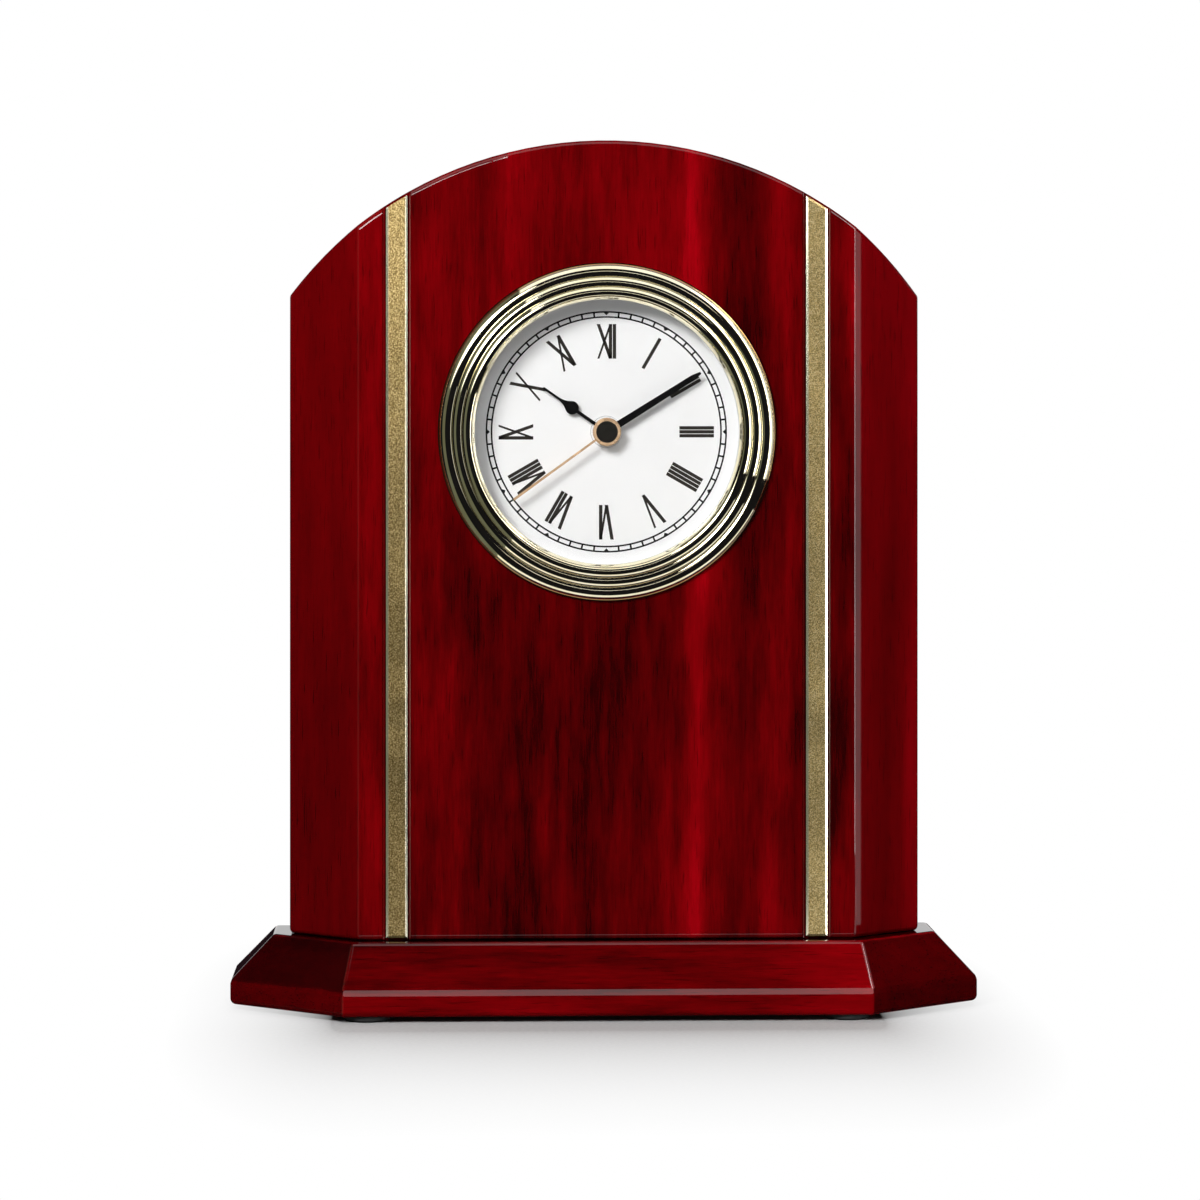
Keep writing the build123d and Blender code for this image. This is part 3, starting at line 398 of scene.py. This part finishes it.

# %% [markdown]
# The strips are rolled brass with a sand-blasted face and bright bevels. One finish does both: it measures
# how far a point lies from the middle of its strip, and beyond the flat face it turns the grain off and the
# polish up. The two strips are the same brass, but the left one's face takes far darker colours than the
# right one's: painted shade on the left strip and painted light on the right one.

# %% Satin gold strips
strip_bevel, bevel_blend = 0.55 * MM, 0.1 * MM
bevel_gold, bevel_polish = (1.0, 0.93, 0.72), 0.5
# The left strip's ramp is much darker than the right strip's: painted shade on the left, painted light on the
# right.
strip_tones_with_painted_shade = {
    "left_trim_strip": (
        (0.41, (0.14, 0.095, 0.034)), (0.52, (0.41, 0.285, 0.105)), (0.62, (0.80, 0.63, 0.31)),
    ),
    "right_trim_strip": (
        (0.41, (0.33, 0.23, 0.08)), (0.52, (0.80, 0.58, 0.23)), (0.62, (1.0, 0.88, 0.52)),
    ),
}


def satin_gold_strip(name, node, shades):
    low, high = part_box(node)
    middle = (low.x + high.x) / 2
    half_face = (high.x - low.x) / 2 - strip_bevel
    material, tree, shader, place = new_finish(name, Metallic=1.0)
    off_middle = reckon(tree, "ABSOLUTE", reckon(tree, "SUBTRACT", coordinate(tree, place, "X"), middle))
    bright = between(tree, off_middle, half_face - bevel_blend, half_face + bevel_blend)
    blast = noise(tree, place, scale=4800.0, detail=2.0, roughness=0.8)
    pits = noise(tree, place, scale=3400.0, detail=3.0, roughness=0.75)
    grain = reckon(tree, "MULTIPLY", blast, reckon(tree, "SUBTRACT", 1.0, bright))
    roughness = hazed(tree, place, clean=0.38, hazy=0.46, patches=90.0)
    polish = between(tree, bright, 0.0, 1.0, 1.0, bevel_polish)
    feed(
        tree, shader, Base_Color=blend(tree, bright, ramp(tree, pits, shades), bevel_gold),
        Roughness=reckon(tree, "MULTIPLY", roughness, polish),
        Normal=bump(tree, grain, 0.03 * MM, strength=0.8),
    )
    return material


strip_finishes = {}
for node, shades in strip_tones_with_painted_shade.items():
    strip_finishes[node] = satin_gold_strip(node + "_satin", node, shades)
print("strip finishes:", len(strip_finishes))

# %% [markdown]
# The bezel is pressed brass, polished and plated pale gold. It lives from what it mirrors, so its own colour
# is nearly even: pale gold in faint clouds, with a copper tint along its outer edge.

# %% Polished gold bezel
edge_starts, edge_full = bezel_radius - 0.40 * MM, bezel_radius - 0.25 * MM
plate_gold = ((0.3, (0.85, 0.77, 0.52)), (0.7, (0.92, 0.86, 0.64)))
copper_edge = (0.55, 0.36, 0.18)


def polished_gold(name):
    material, tree, shader, place = new_finish(name, Metallic=1.0)
    centred = stretch(tree, place, move=-dial_centre)
    turned = fill_group(tree, turned_lines, {"Place": centred, "Lines": 9000.0})
    edge = between(tree, turned["Radius"], edge_starts, edge_full)
    plate = ramp(tree, noise(tree, place, scale=160.0, detail=4.0), plate_gold)
    feed(
        tree, shader, Base_Color=blend(tree, edge, plate, copper_edge),
        Roughness=hazed(tree, place, clean=0.04, hazy=0.08, patches=140.0),
        Normal=bump(tree, turned["Height"], 0.0008 * MM),
    )
    return material


bezel_gold = polished_gold("polished_gold")
print("bezel finish:", bezel_gold.name)

# %% [markdown]
# The glass is clear. A shadow ray passes it as if it were not there, because light through glass is slow to
# gather and the dial behind it would stay dark and grainy.

# %% Clear glass
def clear_glass(name):
    material, tree, shader, _ = new_finish(
        name, Base_Color=(1, 1, 1, 1), Roughness=0.0, IOR=1.5, Transmission_Weight=1.0
    )
    rays = add(tree, "LightPath").outputs
    passing = reckon(tree, "MAXIMUM", rays["Is Shadow Ray"], rays["Is Diffuse Ray"])
    open_way = add(tree, "BsdfTransparent").outputs[0]
    both = add(tree, "MixShader", {0: passing, 1: shader.outputs[0], 2: open_way}).outputs[0]
    tree.links.new(both, tree.nodes["Material Output"].inputs["Surface"])
    return material


lens_glass = clear_glass("lens_glass")
print("glass finish:", lens_glass.name)

# %% [markdown]
# Painted pieces: the white dial, its dark printing ink, the black hands and the black cap. Paint has a slight
# unevenness in its gloss and a trace of tooth, which the haze and grain groups give with smaller values. A
# piece may have a second colour for its nose, the part of it that stands out in front of the dial.

# %% Paint and ink
nose_blend = 0.1 * MM
paper_white = (0.92, 0.92, 0.92)


def painted(name, colour, clean, hazy, grains=2400.0, mottle=0.05, tooth=0.004 * MM, gloss=0.5, nose=None):
    material, tree, shader, place = new_finish(name, Specular_IOR_Level=gloss)
    coat = (*colour, 1)
    if nose:
        depth = coordinate(tree, place, "Y")
        coat = blend(tree, between(tree, depth, dial_centre.y - nose_blend, dial_centre.y), nose, colour)
    sockets = {"Place": place, "Colour": coat, "Grains": grains, "Mottle": mottle}
    paint = fill_group(tree, moulded_grain, sockets)
    feed(
        tree, shader, Base_Color=paint["Colour"],
        Roughness=hazed(tree, place, clean, hazy, patches=130.0),
        Normal=bump(tree, paint["Height"], tooth),
    )
    return material


dial_white = painted("dial_white", paper_white, clean=0.42, hazy=0.55, gloss=0.2)
numeral_ink = painted("numeral_ink", (0.030, 0.026, 0.022), clean=0.40, hazy=0.55, mottle=0.25, gloss=0.06)
track_ink = painted("track_ink", (0.006, 0.006, 0.006), clean=0.40, hazy=0.55, mottle=0.25, gloss=0.10)
hand_black = painted("hand_black", (0.004, 0.004, 0.004), clean=0.36, hazy=0.50, gloss=0.03)
cap_black = painted(
    "cap_black", (0.008, 0.007, 0.005), clean=0.35, hazy=0.55, grains=1500.0, mottle=0.5, tooth=0.03 * MM,
    gloss=0.08,
)
paints = (dial_white, numeral_ink, track_ink, hand_black, cap_black)
print("paint finishes:", [paint.name for paint in paints])

# %% [markdown]
# Plastics and rubber are moulded, so they share one recipe with their own colour, gloss and texture. The same
# recipe serves the resin of the gears and the chip. The housing is black too, but the nose of its bushing is
# white with the dial, so that only the gold boss of the second hand shows in front of it.

# %% Moulded pieces
moulding_black = (0.014, 0.014, 0.015)
moulded_values = {
    # The white plastic is a light grey, far below the dial's white: a painted shade that keeps the wall round
    # the dial, which faces the key more squarely, from shining brighter than the dial.
    "white_plastic": dict(colour=(0.58, 0.58, 0.57), clean=0.45, hazy=0.60, mottle=0.04),
    "black_plastic": dict(
        colour=moulding_black, clean=0.38, hazy=0.55, grains=1700.0, mottle=0.3, tooth=0.03 * MM
    ),
    "ivory_plastic": dict(colour=(0.72, 0.66, 0.50), clean=0.35, hazy=0.50, mottle=0.12, tooth=0.01 * MM),
    "gear_resin": dict(colour=(0.78, 0.78, 0.74), clean=0.32, hazy=0.45, mottle=0.10, tooth=0.01 * MM),
    "black_rubber": dict(
        colour=(0.018, 0.018, 0.018), clean=0.65, hazy=0.85, grains=1300.0, mottle=0.4, tooth=0.05 * MM
    ),
    "black_resin": dict(
        colour=(0.016, 0.016, 0.017), clean=0.50, hazy=0.65, grains=2600.0, mottle=0.3, tooth=0.02 * MM
    ),
}
moulded = {name: painted(name, **values) for name, values in moulded_values.items()}
housing_plastic = painted(
    "housing_plastic", moulding_black, clean=0.38, hazy=0.55, grains=1700.0, mottle=0.1, tooth=0.02 * MM,
    gloss=0.2, nose=paper_white,
)
print("moulded finishes:", len(moulded), "and", housing_plastic.name)

# %% [markdown]
# The metals of the movement differ in colour and in gloss. They are made by one recipe: fine scratches drawn
# out along one direction, and patches where oil or oxide dulls the shine. The second hand is lacquered gold
# and not bare metal, so it is only partly metallic and the lamps light it as they light paint.

# %% Metals of the movement
scratch_scale = (700, 700, 60)
metal_values = {
    "hand_gold": dict(
        colour=(0.74, 0.50, 0.30), dull=(0.60, 0.38, 0.21), clean=0.22, hazy=0.34, metallic=0.45
    ),
    "gear_brass": dict(colour=(0.83, 0.66, 0.32), dull=(0.66, 0.48, 0.20), clean=0.20, hazy=0.36),
    "zinc_steel": dict(colour=(0.72, 0.73, 0.75), dull=(0.56, 0.57, 0.60), clean=0.25, hazy=0.40),
    "motor_steel": dict(colour=(0.55, 0.55, 0.56), dull=(0.40, 0.40, 0.42), clean=0.30, hazy=0.48),
    "motor_magnet": dict(colour=(0.20, 0.20, 0.21), dull=(0.12, 0.12, 0.13), clean=0.40, hazy=0.55),
    "crystal_can": dict(colour=(0.80, 0.80, 0.80), dull=(0.66, 0.66, 0.67), clean=0.15, hazy=0.30),
    "nickel_contact": dict(colour=(0.76, 0.73, 0.66), dull=(0.62, 0.58, 0.52), clean=0.18, hazy=0.34),
}


def worked_metal(name, colour, dull, clean, hazy, metallic=1.0):
    material, tree, shader, place = new_finish(name, Metallic=metallic)
    lines = noise(tree, stretch(tree, place, scale=scratch_scale), detail=4.0, roughness=0.7)
    patches = noise(tree, place, scale=240.0, detail=4.0)
    feed(
        tree, shader, Base_Color=ramp(tree, patches, ((0.35, dull), (0.65, colour))),
        Roughness=hazed(tree, place, clean, hazy, patches=300.0), Normal=bump(tree, lines, 0.01 * MM),
    )
    return material


metals = {name: worked_metal(name, **values) for name, values in metal_values.items()}
print("metal finishes:", len(metals))

# %% [markdown]
# Three inner pieces have a pattern of their own. The coil shows its enamelled wire in rows, the circuit board
# its copper tracks under green lacquer, and the cell a plain printed jacket with bare ends.

# %% Coil, board and cell
wire_width = 0.25 * MM
wire_tones_with_painted_shade = ((0.0, (0.16, 0.05, 0.02)), (1.0, (0.78, 0.34, 0.15)))
board_green, track_green = (0.010, 0.120, 0.045), (0.030, 0.240, 0.090)
cell_end, cell_band, cell_blend = 1.6 * MM, 7 * MM, 0.1 * MM
sleeve_blue, band_grey, bare_steel = (0.012, 0.030, 0.120), (0.55, 0.56, 0.58), (0.70, 0.70, 0.71)


def wound_wire(name, node):
    """Rows of enamelled copper wire, laid side by side along the coil, darker between the turns as a painted
    shade.
    """
    low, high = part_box(node)
    coil_axis = "X" if high.x - low.x > high.z - low.z else "Z"
    material, tree, shader, place = new_finish(name, Metallic=0.85)
    turns = reckon(tree, "MULTIPLY", coordinate(tree, place, coil_axis), 2 * pi / wire_width)
    rows = reckon(tree, "SINE", turns)
    feed(
        tree, shader, Base_Color=ramp(tree, between(tree, rows, -1, 1), wire_tones_with_painted_shade),
        Roughness=hazed(tree, place, clean=0.22, hazy=0.36, patches=300.0),
        Normal=bump(tree, rows, wire_width / 6),
    )
    return material


def lacquered_board(name):
    """Green solder lacquer over straight copper tracks."""
    material, tree, shader, place = new_finish(name)
    upright = stretch(tree, place, turn=(pi / 2, 0, 0))
    tracks = add(tree, "TexBrick", {"Vector": upright, "Scale": 420.0}).outputs["Fac"]
    feed(
        tree, shader, Base_Color=blend(tree, tracks, board_green, track_green),
        Roughness=hazed(tree, place, clean=0.18, hazy=0.34, patches=200.0),
        Normal=bump(tree, tracks, 0.03 * MM),
    )
    return material


def cell_jacket(name, node):
    """A dark blue printed sleeve with a pale band, and bare steel past it at both ends."""
    low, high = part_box(node)
    middle, half_sleeve = (low.x + high.x) / 2, (high.x - low.x) / 2 - cell_end
    band_edge = half_sleeve - cell_band
    material, tree, shader, place = new_finish(name)
    along = reckon(tree, "SUBTRACT", coordinate(tree, place, "X"), middle)
    bare = between(tree, reckon(tree, "ABSOLUTE", along), half_sleeve, half_sleeve + cell_blend)
    sleeve = blend(tree, between(tree, along, band_edge, band_edge + cell_blend), sleeve_blue, band_grey)
    feed(
        tree, shader, Base_Color=blend(tree, bare, sleeve, bare_steel), Metallic=bare,
        Roughness=hazed(tree, place, clean=0.20, hazy=0.36, patches=160.0),
    )
    return material


inner_patterns = {
    "copper_wire": wound_wire("copper_wire", "coil_winding"),
    "green_board": lacquered_board("green_board"),
    "cell_jacket": cell_jacket("cell_jacket", "battery"),
}
print("patterned finishes:", list(inner_patterns))

# %% [markdown]
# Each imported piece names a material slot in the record. The finishes go onto the pieces by that slot, and the
# pieces that need one of their own, such as the strips, the plinth and the housing, are named one by one.

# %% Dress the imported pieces
finish_of_slot = {
    **moulded, **metals, **inner_patterns,
    "rosewood_lacquer": body_wood, "polished_gold": bezel_gold, "clear_glass": lens_glass,
    "white_dial": dial_white, "hand_black": hand_black, "black_cap": cap_black,
}
finish_of_node = {"base_plinth": plinth_wood, "movement_housing": housing_plastic, **strip_finishes}
for subpart in frame["record"]["subparts"]:
    node = subpart["node"]
    finish = finish_of_node.get(node) or finish_of_slot[subpart["material_slot"]]
    packed = frame["nodes"][node]
    packed.data.materials.clear()
    packed.data.materials.append(finish)

# %% [markdown]
# The dial's printing is a thin layer of ink. Each pen stroke starts as a unit cube, and one shearing matrix
# makes it a slanted bar whose ends stay level, as the numerals of such dials have them. Upright strokes and
# the stroke that falls to the right are thick, the one that rises to the right is thin.

# %% Ink strokes
ink_height, ink_grip = 0.03 * MM, 0.01 * MM


def stroke(mesh, foot, head, width, turn):
    """A bar of ink from foot to head, given as places across and out from the dial's centre."""
    (foot_across, foot_out), (head_across, head_out) = foot, head
    shear = Matrix((
        (width, 0, head_across - foot_across, (foot_across + head_across) / 2),
        (0, ink_height + ink_grip, 0, (ink_grip - ink_height) / 2),
        (0, 0, head_out - foot_out, (foot_out + head_out) / 2),
        (0, 0, 0, 1),
    ))
    place = Matrix.Translation(dial_centre) @ Matrix.Rotation(turn, 4, "Y") @ shear
    bmesh.ops.create_cube(mesh, size=1.0, matrix=place)


def finish_piece(mesh, name, finish, body, smooth=False):
    """Turns a bmesh into a piece that rides on a body and takes the given finish."""
    bmesh.ops.recalc_face_normals(mesh, faces=mesh.faces)
    data = bpy.data.meshes.new(name)
    mesh.to_mesh(data)
    mesh.free()
    data.materials.append(finish)
    for polygon in data.polygons:
        polygon.use_smooth = smooth
    piece = bpy.data.objects.new(name, data)
    bpy.context.collection.objects.link(piece)
    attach(piece, body)
    return piece


print("ink is", ink_height / MM, "mm high")

# %% [markdown]
# The hours are Roman numerals that stand with their feet to the centre. A letter is a few strokes, and
# letters stand so close that a V or an X shares a corner with the bar beside it. The loop lays out each
# numeral from its letters, centres it, and turns it to its hour.

# %% Hour numerals
numeral_foot, numeral_head = 18.6 * MM, 27.4 * MM
thick, thin = 0.86 * MM, 0.54 * MM
bar_pitch, v_half, x_width = 1.0 * MM, 1.45 * MM, 3.1 * MM
hour_degrees = 30
numerals = ("XII", "I", "II", "III", "IIII", "V", "VI", "VII", "VIII", "IX", "X", "XI")


def letter_strokes(letter, across):
    """The strokes of one letter as foot, head and width, and how far the letter reaches across."""
    if letter == "I":
        return [(across, across, thick)], 0.0
    if letter == "V":
        point = across + v_half
        return [(point, across, thick), (point, point + v_half, thin)], 2 * v_half
    return [(across + x_width, across, thick), (across, across + x_width, thin)], x_width


ink = bmesh.new()
for hour, numeral in enumerate(numerals):
    strokes, across, before = [], 0.0, ""
    for letter in numeral:
        if letter == before == "I":
            across += bar_pitch
        added, reach = letter_strokes(letter, across)
        strokes += added
        across += reach
        before = letter
    for foot, head, width in strokes:
        foot_place = (foot - across / 2, numeral_foot)
        head_place = (head - across / 2, numeral_head)
        stroke(ink, foot_place, head_place, width, radians(hour_degrees * hour))
hour_numerals = finish_piece(ink, "hour_numerals", numeral_ink, "insert")
print("hour numerals:", len(hour_numerals.data.polygons), "faces")

# %% [markdown]
# The minute track is two fine rings with a tick at each minute and a small wedge at each fifth. A ring is one
# small outline spun right round the dial's axis, and a wedge is a triangle given the height of the ink.

# %% Minute track
track_inner, track_outer = 29.2 * MM, 30.5 * MM
ring_line, tick_line, wedge_half = 0.42 * MM, 0.46 * MM, 0.84 * MM
ring_steps, minute_degrees = 240, 6


def ring(mesh, radius):
    section = [
        mesh.verts.new(dial_centre + Vector((0, depth, radius + side * ring_line / 2)))
        for depth, side in ((ink_grip, -1), (ink_grip, 1), (-ink_height, 1), (-ink_height, -1))
    ]
    edges = [mesh.edges.new((section[n - 1], section[n])) for n in range(4)]
    bmesh.ops.spin(
        mesh, geom=section + edges, cent=dial_centre, axis=dial_axis, angle=2 * pi, steps=ring_steps,
        use_merge=True,
    )


def wedge(mesh, turn):
    corners = ((-wedge_half, track_outer), (wedge_half, track_outer), (0, track_inner + ring_line))
    place = Matrix.Translation(dial_centre) @ Matrix.Rotation(turn, 4, "Y")
    points = [mesh.verts.new(place @ Vector((across, ink_grip, out))) for across, out in corners]
    raised = bmesh.ops.extrude_face_region(mesh, geom=[mesh.faces.new(points)])["geom"]
    raised = [part for part in raised if isinstance(part, bmesh.types.BMVert)]
    bmesh.ops.translate(mesh, verts=raised, vec=(0, -ink_height - ink_grip, 0))


track = bmesh.new()
for radius in (track_inner, track_outer):
    ring(track, radius)
for minute in range(60):
    turn = radians(minute_degrees * minute)
    if minute % 5 == 0:
        wedge(track, turn)
    else:
        stroke(track, (0, track_inner), (0, track_outer), tick_line, turn)
minute_track = finish_piece(track, "minute_track", track_ink, "insert")
print("minute track:", len(minute_track.data.polygons), "faces")

# %% [markdown]
# The bezel shows long unbroken lines of light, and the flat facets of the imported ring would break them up. So
# the ring is turned anew from the same sizes, as on a lathe. Each bead's round is a small spin of one point
# about the bead's own centre, straight runs join them to the lip and the skirt, and the whole section is then
# spun round the dial's axis in fine steps.

# %% Turn the bezel
bead_widths = (3.1 * MM, 2.5 * MM, 2.4 * MM)
bead_lean, bead_half_angle = radians(18.4), radians(44.0)
bead_steps, bezel_steps = 20, 320
bezel_flange, outer_edge, lip_run, lip_drop = 0.3 * MM, 0.7 * MM, 1.05 * MM, 1.5 * MM
skirt_wall, glass_gap = 1.1 * MM, 0.08 * MM
sharp_edge = radians(35)
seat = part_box("case_body")[0].y
lens_low, lens_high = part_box("lens")
skirt_inner = (lens_high.x - lens_low.x) / 2 + glass_gap
skirt_outer = skirt_inner + skirt_wall
lip_inner = bezel_radius - bezel_flange - sum(bead_widths) - lip_run


def section_point(mesh, radius, depth):
    return mesh.verts.new(Vector((dial_centre.x, depth, dial_centre.z + radius)))


def turn_bead(mesh, start, width):
    """Spins a point over one bead, from its outer foot to its inner one, and returns the inner one."""
    rise = width * tan(bead_lean)
    middle = start.co + Vector((0, -rise, -width)) / 2
    centre = middle + Vector((0, width, -rise)) / (2 * tan(bead_half_angle))
    before = set(mesh.verts)
    bmesh.ops.spin(
        mesh, geom=[start], cent=centre, axis=(1, 0, 0), angle=2 * bead_half_angle, steps=bead_steps
    )
    return min(set(mesh.verts) - before, key=lambda point: point.co.z)


gold = bmesh.new()
flange_edge = section_point(gold, bezel_radius, seat - outer_edge)
bead_start = section_point(gold, bezel_radius - bezel_flange, seat - outer_edge)
bead_end = bead_start
for bead_width in bead_widths:
    bead_end = turn_bead(gold, bead_end, bead_width)
corners = (
    (lip_inner, bead_end.co.y + lip_drop), (lip_inner, lens_low.y), (skirt_inner, lens_low.y),
    (skirt_inner, bezel_high.y), (skirt_outer, bezel_high.y), (skirt_outer, seat), (bezel_radius, seat),
)
chain = [bead_end] + [section_point(gold, radius, depth) for radius, depth in corners]
chain += [flange_edge, bead_start]
for first, second in zip(chain, chain[1:]):
    gold.edges.new((first, second))
bmesh.ops.spin(
    gold, geom=gold.verts[:] + gold.edges[:], cent=dial_centre, axis=dial_axis, angle=2 * pi,
    steps=bezel_steps, use_merge=True,
)
turned_bezel = finish_piece(gold, "turned_bezel", bezel_gold, "insert", smooth=True)
turned_bezel.data.set_sharp_from_angle(angle=sharp_edge)
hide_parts("bezel")
turned_front = min(vertex.co.y for vertex in turned_bezel.data.vertices)
print("front of the bezel, packed and turned:", round(bezel_low.y / MM, 3), round(turned_front / MM, 3))

# %% [markdown]
# The studio is a white sweep. The paper near the clock is a matt grey that takes the lamps' shadow, and
# further off it fades to the white of the background, as the camera and the glass see it. The grey that stays
# near the clock is a painted shadow round it: the fade is measured from a block under the clock and runs
# faster to the sides, where the clock's shadow is short. In front, just outside the picture, a black card lies
# on the paper. What shines looks past the paper into the room below, because a polished front would mirror a
# pale floor that the camera's own view of the clock doesn't show.

# %% Floor
floor_radius, floor_sides = 2.4, 96
card_edge, card_blend = -0.24, 0.01
shadow_near, shadow_far, shadow_ease = 0.012, 0.150, 0.48
shadow_half_width = 66 * MM
shadow_narrow = Vector((3.4, 1.0, 1.0))
painted_shadow_greys = ((0.3, (0.53, 0.53, 0.53)), (0.7, (0.57, 0.57, 0.57)))
card_black = (0.02, 0.02, 0.02)


def whiteness(tree, place):
    """How far a place on the floor has faded to white, from the clock outwards; the grey left near the clock is
    a painted shadow.
    """
    low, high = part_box("base_plinth")
    middle, half_size = (low + high) / 2, (high - low) / 2
    half_size.x = shadow_half_width
    aside = reckon_vector(tree, "ABSOLUTE", reckon_vector(tree, "SUBTRACT", place, middle)[0])[0]
    aside = reckon_vector(tree, "MAXIMUM", reckon_vector(tree, "SUBTRACT", aside, half_size)[0], (0, 0, 0))[0]
    away = reckon_vector(tree, "LENGTH", reckon_vector(tree, "MULTIPLY", aside, shadow_narrow)[0])["Value"]
    return reckon(tree, "POWER", between(tree, away, shadow_near, shadow_far, smooth=False), shadow_ease)


def floor_white(name):
    material, tree, shader, place = new_finish(name, Roughness=0.9, Specular_IOR_Level=0.0)
    painted_shadow_paper = ramp(tree, noise(tree, place, scale=900.0), painted_shadow_greys)
    rays = add(tree, "LightPath").outputs
    unseen = reckon(tree, "SUBTRACT", 1.0, rays["Is Camera Ray"])
    ahead = between(tree, coordinate(tree, place, "Y"), card_edge - card_blend, card_edge, 1.0, 0.0)
    card = reckon(tree, "MULTIPLY", ahead, unseen)
    seen = reckon(tree, "MAXIMUM", rays["Is Camera Ray"], rays["Is Transmission Ray"])
    fade = reckon(tree, "MULTIPLY", whiteness(tree, place), seen)
    glow = add(tree, "Emission", {"Color": (1, 1, 1, 1), "Strength": 1.0}).outputs[0]
    both = add(tree, "MixShader", {0: fade, 1: shader.outputs[0], 2: glow}).outputs[0]
    tree.links.new(both, tree.nodes["Material Output"].inputs["Surface"])
    feed(tree, shader, Base_Color=blend(tree, card, painted_shadow_paper, card_black))
    return material


floor_mesh = bmesh.new()
bmesh.ops.create_circle(floor_mesh, cap_ends=True, segments=floor_sides, radius=floor_radius)
floor_data = bpy.data.meshes.new("studio_floor")
floor_mesh.to_mesh(floor_data)
floor_mesh.free()
floor_data.materials.append(floor_white("floor_white"))
studio_floor = bpy.data.objects.new("studio_floor", floor_data)
studio_floor.visible_glossy = False
bpy.context.collection.objects.link(studio_floor)
print("floor", 2 * floor_radius, "m across")

# %% [markdown]
# The room is what the polished pieces mirror: a white sweep behind the clock, low down, a greyish wall on the
# left, and dark everywhere else. That is how the lacquered front stays free of reflections while the rounded
# gold beads can show white and black bands. The camera always sees white, and so does light that comes
# straight through the glass. Light that was mirrored inside the glass first doesn't, because it would lay a
# pale veil over the black hands.

# %% Room
dark, wall_grey, white = (0.008, 0.008, 0.010), (0.140, 0.150, 0.112), (1.0, 1.0, 1.0)
matt_surround = (0.10, 0.10, 0.10)
sweep_back, sweep_foot, sweep_top = (0.15, 0.70), (0.0, 0.05), (0.16, 0.34)
above_sweep = 0.02
wall_near, wall_far, wall_front = (-0.52, -0.42), (-0.92, -0.86), (-0.1, 0.0)


def studio_room(name):
    room = bpy.data.worlds.new(name)
    room.use_nodes = True
    tree = room.node_tree
    direction = add(tree, "TexCoord").outputs["Generated"]
    across, back, up = (coordinate(tree, direction, axis) for axis in "XYZ")
    low = between(tree, up, *sweep_top, 1.0, above_sweep)
    low = reckon(tree, "MULTIPLY", low, between(tree, up, *sweep_foot))
    sweep = reckon(tree, "MULTIPLY", between(tree, back, *sweep_back), low)
    wall = between(tree, across, *wall_near, 1.0, 0.0)
    wall = reckon(tree, "MULTIPLY", wall, between(tree, across, *wall_far))
    wall = reckon(tree, "MULTIPLY", wall, between(tree, back, *wall_front, 1.0, 0.0))
    mirrored = blend(tree, sweep, blend(tree, wall, dark, wall_grey), white)
    rays = add(tree, "LightPath").outputs
    straight = reckon(tree, "LESS_THAN", rays["Glossy Depth"], 0.5)
    through = reckon(tree, "MULTIPLY", rays["Is Transmission Ray"], straight)
    seen = reckon(tree, "MAXIMUM", rays["Is Camera Ray"], through)
    surround = blend(tree, rays["Is Glossy Ray"], matt_surround, mirrored)
    tree.links.new(blend(tree, seen, surround, white), tree.nodes["Background"].inputs["Color"])
    return room


bpy.context.scene.world = studio_room("studio_room")
print("room:", bpy.context.scene.world.name)

# %% [markdown]
# Three soft lamps light the clock. The key stands high on the left and throws the shadows of the bezel and
# the hands to the lower right, a long box over the camera fills the front, and a box above and behind lights
# the floor. The rest are bright cards that only show in what shines: one at the key's own place, a small one
# close to the head of the left strip and a larger, dimmer one beside it for the bezel, a slim one over the
# camera for the plinth's ridge, a slim and a broad one on the right for the edges and the beads, and one
# above and one below the bezel. Places and sizes are in metres.

# %% Lamps
lamp_target = Vector((0, 0, 120)) * MM
key_place, key_size = Vector((-0.56, -0.84, 0.70)), (0.36, 0.36)
long_place, floor_place = Vector((-0.12, -0.95, 0.62)), Vector((0.0, 0.34, 0.95))
near_place, bezel_place = Vector((-0.145, -0.40, 0.30)), Vector((-0.255, -0.434, 0.344))
ridge_place = Vector((0.04, -0.95, 0.362))
edge_place, side_place = Vector((0.79, -0.635, 0.615)), Vector((0.75, -0.51, 0.465))
top_place, low_place = Vector((0.12, -0.22, 0.51)), Vector((0.08, -0.085, 0.004))
inward = Vector((-edge_place.x, -edge_place.y, 0))
up, down, left = Vector((0, 0, 1)), Vector((0, 0, -1)), Vector((-1, 0, 0))


def soft_box(name, place, size, watts, target=lamp_target, lights=True, mirrors=True):
    data = bpy.data.lights.new(name, "AREA")
    data.shape = "RECTANGLE"
    data.size, data.size_y = size
    data.energy = watts
    lamp = bpy.data.objects.new(name, data)
    lamp.location = place
    lamp.rotation_euler = (target - lamp.location).to_track_quat("-Z", "Y").to_euler()
    lamp.visible_camera = False
    lamp.visible_diffuse = lights
    lamp.visible_glossy = mirrors
    bpy.context.collection.objects.link(lamp)
    return lamp


def bright_card(name, place, size, watts, target=lamp_target):
    """A lamp that only what shines can see."""
    return soft_box(name, place, size, watts, target, lights=False)


lamps = (
    soft_box("key_box", key_place, key_size, watts=11.4, mirrors=False),
    soft_box("long_box", long_place, size=(0.90, 0.34), watts=3.3, mirrors=False),
    soft_box("floor_box", floor_place, size=(0.80, 0.50), watts=6.2, mirrors=False),
    bright_card("key_card", key_place, key_size, watts=6.0),
    bright_card("near_card", near_place, size=(0.115, 0.115), watts=0.56),
    bright_card("bezel_card", bezel_place, size=(0.24, 0.20), watts=0.30),
    bright_card("ridge_card", ridge_place, size=(0.40, 0.05), watts=0.105),
    bright_card("edge_card", edge_place, size=(0.13, 1.37), watts=6.2, target=edge_place + inward),
    bright_card("side_card", side_place, size=(0.82, 1.07), watts=2.5, target=side_place + left),
    bright_card("top_card", top_place, size=(0.66, 0.34), watts=0.85, target=top_place + down),
    bright_card("low_card", low_place, size=(0.40, 0.07), watts=0.088, target=low_place + up),
)
print("lamps:", [lamp.name for lamp in lamps])
